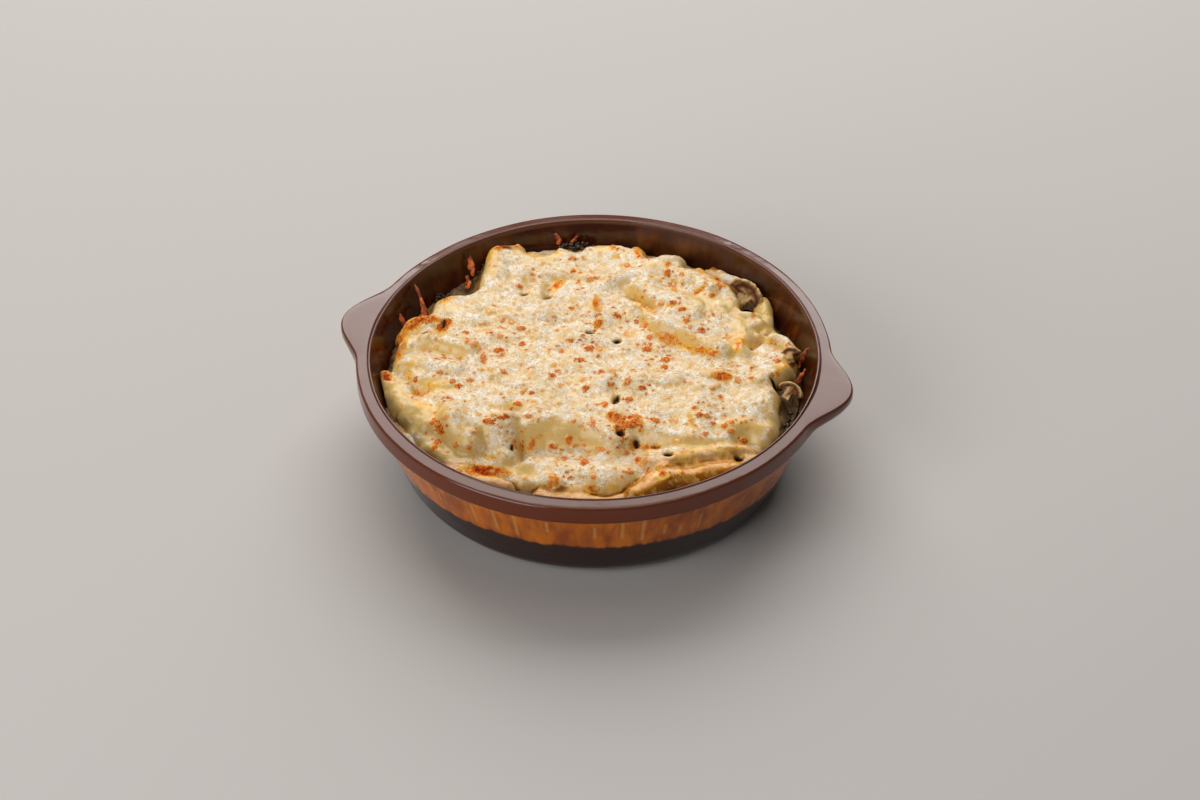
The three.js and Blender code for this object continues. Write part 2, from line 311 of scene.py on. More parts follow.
def moistGrainGroup():
    group, given = newGroup(
        "moistGrain",
        {"Place": "Vector", "Size": "Float"},
        {"Light": "Float", "ShadedGaps": "Float", "Rings": "Float", "Height": "Float"},
    )
    scale = maths("DIVIDE", 1.0, given["Size"])
    place = outOf(put(group, "VectorMath", {0: given["Place"], "Scale": scale}, operation="SCALE"))

    def threadsAndGlints(size, width, distortion):
        fibres = noiseOf(place, size, 2.0, distortion, 0.55)
        return steps(maths("ABSOLUTE", fibres - 0.5), 0.0, width, 1.0, 0.0)

    patchy = steps(noiseOf(place, 7.0, 2.0, 0.8), 0.36, 0.6, 0.3, 1.0)
    # Pale threads: fibres of cheese whitened as painted glints.
    light = maths("MAXIMUM", threadsAndGlints(2.0, 0.12, 1.8), threadsAndGlints(3.2, 0.07, 2.8)) * patchy
    curds = noiseOf(place, 1.3, 2.0, 1.2, 0.6)
    # Rings round bubbles of uneven size, with the places shaken so that the rings aren't round.
    shake = outOf(put(group, "TexNoise", {"Vector": place, "Scale": 0.9, "Detail": 1.0}), "Color")
    shaken = put(group, "VectorMath", {0: shake, 1: (1.3, 1.3, 1.3), 2: place}, operation="MULTIPLY_ADD")
    cells = put(group, "TexVoronoi", {"Vector": outOf(shaken), "Scale": 0.4})
    chance = put(group, "SeparateColor", {0: outOf(cells, "Color")})
    reach = steps(outOf(chance, 1), 0.0, 1.0, 0.16, 0.42)
    away = maths("ABSOLUTE", outOf(cells, "Distance") - reach)
    rings = steps(away, 0.02, 0.09, 1.0, 0.0) * steps(outOf(chance, 0), 0.3, 0.36)
    rings = rings * steps(noiseOf(place, 1.7, 2.0, 0.5), 0.42, 0.56)
    height = noiseOf(place, 3.8, 2.0, 1.0, 0.5) * 0.5 + curds + light * 0.3
    # Painted shade: the low gaps between curds.
    dark = steps(curds, 0.36, 0.47, 1.0, 0.0)
    return closeGroup(group, {"Light": light, "ShadedGaps": dark, "Rings": rings, "Height": height})


baked = {
    "halo": (220, 176, 90),
    "edgePale": (206, 136, 46),
    "edge": (200, 80, 2),
    # Pale middle of a blister: a painted highlight.
    "blisterHighlight": (246, 212, 142),
    "blister": (238, 146, 40),
    "dark": (158, 46, 0),
}

# Baked marks. Field is the distance inside a mark's edge in mm. A low Tone leaves a pale middle, painted as a
# highlight on the blister; a high one darkens it.


def bakedMarksGroup():
    group, given = newGroup(
        "bakedMarks",
        {"Place": "Vector", "Color": "Color", "Field": "Float", "Tone": "Float"},
        {"Color": "Color", "Mask": "Float"},
    )
    place, tone = given["Place"], given["Tone"]
    field = given["Field"] + (noiseOf(place, 1.3, 3.0, 1.0) - 0.52) * 5.0
    halo = steps(field, -2.2, 0.2)
    middle = steps(field, -0.45, 0.3)
    inner = steps(field, 0.15, 0.8)
    blots = noiseOf(place, 0.95, 2.0, 0.8)
    dark = steps(tone, 0.3, 0.95) * steps(blots, 0.42, 0.6, 1.0, 0.0)
    edgeTint = mix(steps(tone, 0.1, 0.5), baked["edgePale"], baked["edge"])
    # Painted highlight: low-tone marks get a pale middle.
    middleTint = mix(steps(tone, 0.1, 0.6), baked["blisterHighlight"], baked["blister"])
    tint = mix(halo * 0.65, given["Color"], baked["halo"])
    tint = mix(middle * steps(tone, 0.0, 0.3, 0.7, 1.0), tint, edgeTint)
    tint = mix(inner * steps(blots, 0.42, 0.55, 0.25, 0.95), tint, middleTint)
    tint = mix(middle * dark, tint, baked["dark"])
    return closeGroup(group, {"Color": tint, "Mask": middle})


grainGroup = moistGrainGroup()
marksGroup = bakedMarksGroup()


# The food's surface, by direction in even steps from +X towards +Y.
surface = {
    "plateau": 57,
    "stepWidth": 11,
    "middleReach": [
        94, 90, 76, 82, 90, 88, 90, 90, 90, 97, 85, 93, 93, 92, 86, 84, 76, 60, 52, 54, 60, 68, 88, 95,
    ],
    "cheeseReach": [
        96, 101, 96, 87, 97, 97, 98, 98, 98, 103, 85, 94, 100, 102, 103, 102, 96, 87, 89, 89, 87, 85, 96, 102,
    ],
    "edgeHeight": [
        52, 52, 53, 54, 56, 57, 57, 57, 57, 58, 56, 56, 55, 52, 50, 49, 46, 44, 47, 47, 48, 50, 50, 51,
    ],
}


def cavityRadius(height):
    return dish["rimInner"] - dish["innerTaper"] * (rimHeight - height)


def around(values, angle):
    values = np.array(values, float)
    count = len(values)
    place = (angle / math.tau) % 1.0 * count
    first = np.floor(place).astype(int)
    t = place - first
    a, b, c, d = (values[(first + k) % count] for k in (-1, 0, 1, 2))
    return b + 0.5 * t * (c - a + t * (2 * a - 5 * b + 4 * c - d + t * (3 * (b - c) + d - a)))


def foodHeight(x, y):
    radius = np.hypot(x, y)
    angle = np.arctan2(y, x)
    inner = around(surface["middleReach"], angle)
    half = surface["stepWidth"] / 2
    fall = smoothStep(radius, inner - half, inner + half)
    return surface["plateau"] + (around(surface["edgeHeight"], angle) - surface["plateau"]) * fall


# Dish: a spun profile with two lugs, glaze bands and a plain row of cut strokes at the front.
dish = {
    "rimInner": 111.6,
    "rimOuter": 119,
    "bandDrop": 1.1,
    "collarDepth": 11,
    "wallTop": (115, 12),  # radius and depth below the rim
    "wallFoot": (99.5, 54),
    "footCorner": 12,
    "footRing": 5,
    "footRecess": 1.5,
    "innerTaper": 0.35,
    "innerCorner": 10,
    "floor": 8,
    "lugReach": 12.5,
    "lugHalfAngle": 16,  # degrees
    "lugEdgeDepth": 7,
    "lugUnderside": 5,
    "lugCrowding": 0.2,
    "frontFrom": 232,  # degrees, the stretch with the strokes, spun finer
    "frontTo": 312,
    "frontSteps": 400,
    "restSteps": 360,
    # Direction in degrees, and the depths where a stroke starts and ends.
    "strokes": [
        (242, 14, 35), (248.5, 21, 29), (257, 17, 33), (261.5, 14, 32), (265.5, 13, 33), (271.5, 16, 25),
        (280, 18, 28), (285, 14, 29), (289, 13, 33), (293.5, 22, 31), (297, 26, 33), (301.5, 21, 34),
    ],
    "strokeWidth": 0.55,
    "strokeDepth": 0.45,
    "strokeLip": 0.16,
}


def arcPoints(centreRadius, centreHeight, radius, start, end, count):
    points = []
    for k in range(count + 1):
        angle = math.radians(start + (end - start) * k / count)
        points.append((centreRadius + radius * math.cos(angle), centreHeight + radius * math.sin(angle)))
    return points


def evenly(points, spacing):
    filled = [points[0]]
    for (r0, z0), (r1, z1) in zip(points, points[1:]):
        count = max(1, round(math.hypot(r1 - r0, z1 - z0) / spacing))
        filled += [(r0 + (r1 - r0) * k / count, z0 + (z1 - z0) * k / count) for k in range(1, count + 1)]
    return filled


def dishProfile():
    topRadius, topDepth = dish["wallTop"]
    footRadius, footDepth = dish["wallFoot"]
    slope = math.atan((topRadius - footRadius) / (footDepth - topDepth))
    corner = dish["footCorner"]
    footCentre = footRadius - corner * math.cos(slope)
    outer, inner = dish["rimOuter"], dish["rimInner"]
    ring, recess = dish["footRing"], dish["footRecess"]
    outside = [(0, recess), (footCentre - ring - recess - 0.4, recess), (footCentre - ring, 0.15)]
    outside += [(footCentre - ring + 0.5, 0)]
    outside += arcPoints(footCentre, corner, corner, -90, -math.degrees(slope), 12)
    wall = evenly([outside[-1], (topRadius, rimHeight - topDepth)], 0.8)
    outside += wall[1:]
    outside += arcPoints(outer - 1.6, rimHeight - dish["collarDepth"] + 1.6, 1.6, -75, -5, 5)
    outside += [(outer, rimHeight - 8.5), (outer, rimHeight - dish["lugEdgeDepth"]), (outer, rimHeight - 5)]
    outside += arcPoints(outer - 1.5, rimHeight - dish["bandDrop"] - 1.5, 1.5, 0, 72, 6)
    outside += evenly([outside[-1], (inner + 1.0, rimHeight - 0.03)], 1.2)[1:]
    outside += arcPoints(inner + 1.0, rimHeight - 1.03, 1.0, 80, 180, 6)
    taper = dish["innerTaper"]
    tilt = math.atan(taper)
    bend = dish["innerCorner"]
    centreHeight = dish["floor"] + bend
    tangentHeight = centreHeight - bend * math.sin(tilt)
    tangentRadius = inner - taper * (rimHeight - tangentHeight)
    centreRadius = tangentRadius - bend * math.cos(tilt)
    inside = evenly([outside[-1], (tangentRadius, tangentHeight)], 1.6)[1:]
    inside += arcPoints(centreRadius, centreHeight, bend, -math.degrees(tilt), -90, 6)[1:]
    return outside + inside + [(0, dish["floor"])]


def lugAt(angle):
    fromAxis = np.abs(np.arctan2(np.sin(2 * angle), np.cos(2 * angle))) / 2
    half = math.radians(dish["lugHalfAngle"])
    return np.where(fromAxis < half, dish["lugReach"] * np.cos(math.pi * fromAxis / (2 * half)) ** 2, 0)


def turnProfile(name, profile, angles):
    bm = bmesh.new()
    columns, rows = len(profile) - 1, len(angles)
    bmesh.ops.create_grid(bm, x_segments=columns, y_segments=rows, size=0.5)
    cells = readPoints(bm.verts) * mm + 0.5
    column = np.rint(cells[:, 0] * columns).astype(int)
    angle = np.radians(np.array(angles))[np.rint(cells[:, 1] * rows).astype(int) % rows]
    radius, height = np.array(profile).T
    radius, height = radius[column], height[column]
    writePoints(bm.verts, np.stack([radius * np.cos(angle), radius * np.sin(angle), height], axis=1))
    bmesh.ops.remove_doubles(bm, verts=bm.verts, dist=0.01 * mm)
    bmesh.ops.recalc_face_normals(bm, faces=bm.faces)
    return meshOf(bm, name)


def strokeCut(angle, depth, radius):
    cut = np.zeros_like(radius)
    mark = np.zeros_like(radius)
    width = dish["strokeWidth"]
    for direction, top, bottom in dish["strokes"]:
        across = np.abs(angle - math.radians(direction)) * radius
        along = smoothStep(depth, top - 0.6, top + 0.6) * smoothStep(-depth, -bottom - 0.6, -bottom + 0.6)
        groove = np.exp(-((across / width) ** 2)) * along
        lip = np.exp(-(((across - 2.1 * width) / width) ** 2)) * along
        cut += lip * dish["strokeLip"] - groove * dish["strokeDepth"]
        mark = np.maximum(mark, along * np.exp(-((across / (1.3 * width)) ** 2)))
    return cut, mark


def buildDish():
    profile = dishProfile()
    front, back = dish["frontFrom"], dish["frontTo"]
    angles = list(np.linspace(front, back, dish["frontSteps"], endpoint=False))
    angles += list(np.linspace(back, front + 360, dish["restSteps"], endpoint=False))
    mesh = turnProfile("stonewareDish", profile, angles)
    points = readMesh(mesh) / mm
    radius = np.hypot(points[:, 0], points[:, 1])
    even = np.arctan2(points[:, 1], points[:, 0])
    angle = even - dish["lugCrowding"] * np.sin(2 * even)
    depth = rimHeight - points[:, 2]
    middle = (dish["rimInner"] + dish["rimOuter"]) / 2
    isOuter = smoothStep(radius, middle - 2.5, middle + 3)
    inLug = smoothStep(dish["collarDepth"] - depth, 0, dish["lugUnderside"]) * isOuter
    isWall = (depth > dish["collarDepth"]) & (radius > dish["wallFoot"][0] - 3)
    outerWall = np.where(isWall & (radius > 111.6 - 0.35 * depth + 2), 1.0, 0.0)
    cut, mark = strokeCut(even % math.tau, depth, radius)
    warp = 0.25 * noiseAt(points, 45, 2) * (depth < rimHeight - 1)
    reach = radius + lugAt(angle) * inLug + cut * outerWall + warp * (radius > 60)
    lift = 0.12 * noiseAt(points, 30, 2, 3.0) * (depth < 3)
    moved = np.stack([reach * np.cos(angle), reach * np.sin(angle), points[:, 2] + lift], axis=1)
    writeMesh(mesh, moved)
    normals = readMesh(mesh, "vertex_normals", "vector")
    facesOut = (normals[:, :2] * moved[:, :2]).sum(axis=1) > 0
    paint(mesh, "outside", facesOut & (depth > 1.2) & (radius > 85))
    # The rim's top band and the tops of the lugs: brown glaze, made paler by painted reflection of the light
    # above.
    paint(mesh, "rimTopGlazeAndReflection", smoothStep(-depth, -2.4, -1.2) * (radius > dish["rimInner"] - 0.4))
    paint(mesh, "stroke", mark * outerWall)
    keepPiece(mesh, glazedStoneware(), ["dish"])


glaze = {
    # Rim top: brown glaze lightened as a painted reflection.
    "rim": (92, 50, 34),
    "collar": (96, 36, 0),
    "ochre": (208, 112, 0),
    "ochreDeep": (150, 66, 0),
    "foot": (38, 8, 0),
    "inside": (60, 24, 8),
    "insideAmber": (118, 62, 18),
    "strokeLight": (206, 142, 66),
    "ochreFleck": (196, 122, 40),
    "bandEnd": 36,  # depth of the ochre band's lower edge at the front
    "bandEndSides": 42,
}


def glazedStoneware():
    material, tree, shader = newMaterial("glazedStoneware")
    place = inMillimetres(tree)
    axes = put(tree, "SeparateXYZ", {0: place})
    depth = rimHeight - outOf(axes, "Z")
    runs = noiseOf(stretched(place, 1, 1, 0.12), 5.5, 4.0, 0.3)
    slow = noiseOf(place, 26, 3.0, 0.5)
    fine = noiseOf(stretched(place, 1, 1, 0.35), 1.1, 3.0)
    # The band's lower edge rises towards the front, and the glaze runs a little.
    forward = steps(outOf(axes, "Y"), -108, -30)
    edge = forward * (glaze["bandEndSides"] - glaze["bandEnd"]) + glaze["bandEnd"] + (runs - 0.5) * 5.0
    below = steps(depth - edge, -1.4, 1.6)
    above = steps(depth, dish["collarDepth"] + 0.3, dish["collarDepth"] + 1.5)
    shade = runs * 0.6 + slow * 0.5
    ochre = mix(steps(shade, 0.38, 0.72), glaze["ochreDeep"], glaze["ochre"])
    ochre = mix(steps(fine, 0.5, 0.75) * 0.18, ochre, glaze["ochreFleck"])
    dark = mix(steps(depth, 11, 15), glaze["collar"], glaze["foot"])
    outer = mix(above * (1.0 - below), dark, ochre)
    outer = mix(attribute(tree, "stroke") * 0.75, outer, glaze["strokeLight"])
    amber = steps(shade, 0.5, 0.8) * steps(depth, 1, 10, 0.2, 0.7)
    inner = mix(amber, glaze["inside"], glaze["insideAmber"])
    tint = mix(attribute(tree, "outside"), inner, outer)
    # Painted reflection: the rim's top is a paler, greyer brown than the glaze below it.
    tint = mix(attribute(tree, "rimTopGlazeAndReflection"), tint, glaze["rim"])
    wavy = slow + noiseOf(place, 7.0, 2.0) * 0.12
    feed(shader, baseColor=tint, roughness=steps(slow, 0.3, 0.75, 0.1, 0.2), normal=bumpOf(wavy, 0.35, 1.2),
         ior=1.5, gloss=0.43)
    return material


print("dish")
buildDish()


# Melted cheese: one sheet that drapes over the pasta tubes.
cheese = {
    "gridHalf": 108,
    "meshStep": 0.66,
    "edgeRounding": 6,
    "edgeDrop": 3.4,
    "blend": 3.2,
    "softening": 6,  # rounds of smoothing over the draped form
    "warp": 2.6,
    "lumps": 1.4,
    "swell": 1.3,
    "dents": 0.4,
    "wrinkles": 0.1,
    "crust": 0.5,
    "hiddenTubes": 80,
    "quietFront": -36,  # none in front of this
    "spots": 260,
    # How far out and down each row of the skirt goes from the last.
    "skirt": [(0.5, 1.1), (0.3, 1.4), (-0.2, 1.5), (-0.8, 1.6), (-1.6, 1.6), (-2.6, 1.6), (-4, 1.6)],
}

# Tubes whose crests show in the cheese: the ends of each axis, the sheet's radius over it and its rise.
coveredTubes = [
    ((12, 45), (31, 33), 6, 4.6), ((31, 33), (60, 21), 7, 5.4), ((8, 62), (38, 48), 8, 2.6),
    ((-95, 4), (-81, 8), 6, 5.5), ((-97, -9), (-84, -4), 6.5, 4.2), ((-84, -4), (-64, -9), 6.5, 4.2),
    ((-92, -21), (-66, -24), 6.5, 4.2), ((-85, -31), (-68, -34), 5, 3), ((-90, -40), (-82, -56), 7, 5),
    ((-79, -47), (-69, -58), 8.5, 5), ((-57, -57), (-46, -66), 10, 4.6), ((-31, -57), (-29, -68), 7.5, 5),
    ((-8, -84), (2, -86), 6, 3.5), ((-22, -46), (24, -50), 8, 2.5), ((-14, -74), (36, -73), 9, 4),
    ((44, -58), (86, -45), 7, 4.5), ((55, 61), (69, 59), 6, 4.5), ((74, 60), (71, 26), 7, 3),
    ((84, 4), (93, 18), 5, 3.5), ((76, 40), (87, 42), 5, 4.5), ((79, 30), (88, 26), 7, 4.5),
    ((90, 40), (97, 34), 4.5, 4.5), ((-69, 74), (-63, 48), 8, 2.5), ((-50, 62), (-20, 70), 8, 2.5),
    ((10, 84), (44, 74), 8, 3), ((60, -20), (92, -28), 9, 3), ((-48, 24), (-20, 34), 8, 2.5),
    ((-44, -22), (-14, -30), 8, 2.5), ((10, -14), (44, -4), 8, 2.5), ((-12, 44), (-8, 36), 4, 3),
]

# Tubes at the wall that the sheet follows all the way: ends of the axis in space, the sheet's radius, and
# how bare the pasta is.
wallTubes = [
    ((42, -83, 48), (54, -70, 49.5), 6.4, 1.0),
    ((54, -70, 49.5), (84, -56, 49.5), 5.6, 1.0),
    ((45, -64, 48.5), (90, -46, 49), 5.6, 0.6),
    ((-4, -92, 43.5), (34, -91, 45), 5.4, 0.8),
    ((30, -90, 44), (44, -82, 46), 5.4, 0.9),
    ((-54, -85, 43.5), (-22, -91, 45.5), 5.2, 0.7),
    ((-101, -30, 53), (-89, -54, 45), 4.2, 0.2),
    ((-99, 2, 52), (-82, 18, 53), 5.2, 0.1),
    ((-88, 30, 51.5), (-76, 33, 53), 4.6, 0.2),
    ((-71, 73, 54), (-66, 46, 52), 5.4, 0.2),
    ((-20, 98, 51), (-11, 84, 53), 4.6, 0.1),
    ((-2, 100, 52.5), (6, 84, 53), 5.2, 0.2),
    ((20, 95, 52.5), (9, 84, 53.5), 6.2, 0.1),
    ((38, 93, 50.5), (31, 80, 52), 5, 0.3),
    ((47, 88, 50.5), (51, 79, 52), 3.8, 0.5),
    ((80, 52, 49), (94, 38, 49), 5, 0.3),
    ((71, 76, 51), (76, 52, 50.5), 5, 0),
    ((-72, 73, 56.5), (-61.5, 82, 57.5), 4.2, 0.3),
]

# Places where the sheet's edge reaches out: direction, reach and half width in degrees.
cheeseLobes = [
    (134, 4, 4.5), (159, 3, 3), (178, 2, 4), (51, 3, 4), (-24, 3, 3), (-52, 2, 5), (205, 2, 4),
    (86, -8, 2.2), (72.5, -7, 2.4), (110, -5, 3), (119, -4, 3), (32.5, -6, 2), (38, 4, 3), (3, -4, 3),
    (24, 3, 4), (-17, 2, 3),
]

# Swells and dips of the sheet: middle, half widths, turn in degrees and height.
swells = [
    (11, 52, 12, 2.8, -40, -4.5), (30, 59, 15, 6, -20, 2.2), (38, 20, 22, 5, -28, -2.6),
    (74, 37, 4, 16, 8, -4.5), (76, 38, 1.8, 8, -25, -4.5), (57, 60, 9, 5, -40, -2.6),
    (44, 66, 9, 4, -50, 2), (-28, -45, 7, 4.5, 0, -2.8), (-34, -23, 7, 3.5, 0, -1.8),
    (-72, -36, 13, 7, -12, -2.6), (-46, 29, 4, 3.5, 0, -1.8), (-21, 73, 5, 3.5, 0, -1.8),
    (-36, 49, 3.5, 6, -10, -2.4), (-48, 49, 3, 4.5, 15, -1.8), (17, -15, 4, 9, 0, -2),
    (-64, -62, 8, 2.6, -58, -2.4), (-39, -68, 8, 2.6, -80, -1.8), (-21, -68, 6, 2.2, -80, -1.8),
    (83, 30, 6, 7, -20, -2.2), (-5, 32, 5, 7, 10, 1.4), (62, 3, 9, 5, 0, 1.2), (8, 28, 9, 5, -20, -1.5),
    (60, -30, 14, 6, -15, 1.5), (80, -38, 12, 4, -10, -2), (-10, -82, 3, 9, 60, -1.8),
    (20, -80, 12, 3, -10, 1.2), (-52, 5, 9, 6, 30, 1.2), (0, 70, 12, 4, 0, 1.2),
]

# Small dark holes in the sheet: middle, half widths along X and Y, and depth.
holes = [
    (-48, 45, 1.3, 2.2, 8), (-36, 45.5, 1.3, 2.6, 8), (-7, 20, 2, 1.2, 6), (8, 16.5, 1.5, 1.5, 7),
    (18, -27, 1.1, 3.4, 8), (26, -51, 1.7, 1.7, 6), (34, -51, 1.1, 1.4, 6), (44, -52, 1.7, 0.9, 6),
    (-80, 7, 0.9, 2.4, 3), (-87, -3, 1.6, 0.9, 4), (-66, 77, 3.6, 1.6, 1.2), (74, 32, 0.9, 2.4, 3),
    (91, 6, 1.9, 1.1, 5), (52, -59, 2.2, 1.2, 5), (-25, -66, 0.8, 1.2, 3.5), (85, -49, 2, 1.2, 5),
]

# The photograph looks down at this slope: a point at this height is seen in place, a lower one moves.
seenLevel = 58
seenShift = (0.311, -1.225)
towardsCamera = np.array([0.193, -0.760, 0.620])

# Toasted patches as seen from the front: middle, half widths, turn in degrees and strength.
patches = [
    (-96, 5, 4, 6, -20, 1.3), (-90, 11, 7, 3.5, 15, 1.3), (-80, 8, 3, 7, -8, 1.4), (-99, -2, 4, 5, 0, 1.1),
    (-98, -14, 4, 12, 8, 1.2), (-99, -37, 6, 3, -42, 1.5), (-86, 31, 4, 5, 0, 0.9),
    (-68, 81, 9, 3.5, 34, 1.1), (-47, 81, 11, 4, 5, 0.7), (1, 91, 2.5, 6, 20, 1.0), (-9, 86, 3, 3, 0, 0.6),
    (18, 85, 3, 4, 0, 0.6), (47, 81, 4.5, 5, 25, 1.3), (-13, 93, 2, 4, 10, 0.9), (36, 84, 3, 4, 0, 0.6),
    (52, 78, 3, 4, 0, 1.5), (39, 67, 2, 6, -25, 0.9), (13, 48, 9, 4, -40, 0.55), (34, 24, 11, 5, -28, 0.85),
    (50, 19, 10, 4, -8, 0.85), (27, 51, 4, 3, 0, 0.5), (-10, 44, 2, 6, 12, 1.3), (-5, 28, 3, 5, 0, 0.8),
    (-33, 55, 2.5, 6, -20, 1.1), (65, 1, 6, 4, 5, 1.25), (22, -43, 5.5, 3.5, -35, 1.7),
    (30, -46, 6.5, 3.2, 30, 1.7), (31, -40, 3.5, 2.2, 0, 1.4), (26, -51, 2.6, 5, 10, 1.5),
    (37, -62, 5, 2, -10, 1.1), (46, -61, 3, 2, 20, 1.1), (68, 29, 3, 9, 0, 0.7), (56, 79, 4, 3, 20, 1.5),
    (-48, 80, 12, 3, 8, 0.55), (59, -37, 2, 8, 35, 0.7), (36, -62, 12, 7, -10, 0.35),
    (-74, -56, 8, 4, -20, 0.5), (-79, -47, 2, 4, 25, 0.8), (-86, -36, 2, 6, 10, 0.6),
    (-88, -26, 5, 3, 0, 0.5), (-76, -40, 7, 4, 0, 0.4), (-61, -72, 2, 7, 28, 1.0), (-59, -86, 2, 5, 0, 0.8),
    (-30, -98, 13, 4.5, 8, 1.4), (-38, -96, 7, 3, 5, 0.6), (-30, -87, 5, 3, 0, 0.5), (4, -97, 3, 6, 8, 0.9),
    (24, -99, 5, 3, -15, 0.8), (33, -95, 8, 3, 15, 0.4), (54, -79, 5, 4, 30, 0.6), (58, -64, 6, 2, 15, 0.5),
    (87, -46, 3, 3, 0, 0.7), (70, -56, 12, 2.5, 5, 0.35), (-13, -73, 2, 6, 3, 0.7), (82, 33, 4, 4, 0, 0.35),
    (93, 15, 3, 8, -25, 0.5), (-45, 84, 3, 3, 0, 0.7), (-8, 40, 4, 3, 0, 0.5), (-74, 70, 3, 9, 10, 0.6),
    (-62, 83, 3, 4, 0, 0.9),
]

# Smooth yellow places as seen from the front: middle, half widths, turn in degrees and strength.
smoothPlaces = [
    (66, 36, 5, 19, 5, 1.0), (44, 60, 7, 9, -30, 0.7), (12, 50, 13, 4, -38, 0.8), (37, 26, 23, 7, -22, 0.8),
    (84, -36, 14, 9, -10, 0.9), (-4, -61, 19, 9, 14, 0.8), (-76, -10, 15, 6, 0, 0.9),
    (-72, -40, 11, 7, -10, 0.9), (-73, -65, 10, 14, 20, 1), (-49, -84, 9, 13, 0, 1),
    (-30, -46, 7, 6, 0, 0.7), (-38, -24, 8, 4, 0, 0.5), (85, 45, 9, 5, 20, 0.7), (93, 18, 5, 10, -20, 0.9),
    (-12, -93, 9, 6, 0, 0.7), (-35, 54, 5, 9, -10, 0.7), (-17, 92, 7, 6, 0, 0.8), (36, 87, 8, 6, 0, 0.9),
    (2, 93, 4, 6, 0, 0.7), (-70, 62, 5, 15, 8, 0.6), (70, -53, 20, 6, 8, 0.9), (-90, -50, 7, 13, 30, 0.8),
    (57, 58, 9, 7, -40, 0.7), (-24, 73, 6, 5, 0, 0.5), (-46, 30, 5, 4, 0, 0.5), (12, 82, 9, 6, 0, 0.5),
    (71, 62, 7, 14, 15, 0.7), (14, -30, 8, 8, 0, 0.4), (-60, 10, 4, 12, -10, 0.5),
    (-60, -85, 10, 9, 0, 0.9), (-48, 79, 13, 6, 5, 0.8), (-82, 22, 8, 5, 30, 0.5), (16, 62, 5, 4, 0, 0.4),
    (50, 4, 6, 4, 0, 0.3),
]

# Steep places that are grainy all the same.
grainyPlaces = [
    (-30, -74, 8, 15, 0, 1), (12, -82, 28, 11, 4, 1.2), (-78, -20, 14, 5, 0, 0.8), (66, -73, 8, 6, 25, 0.7),
    (-62, -84, 8, 7, 0, 0.6), (34, -63, 16, 9, 0, 0.9), (82, 30, 7, 11, -15, 0.9), (50, 10, 20, 8, 0, 0.4),
]

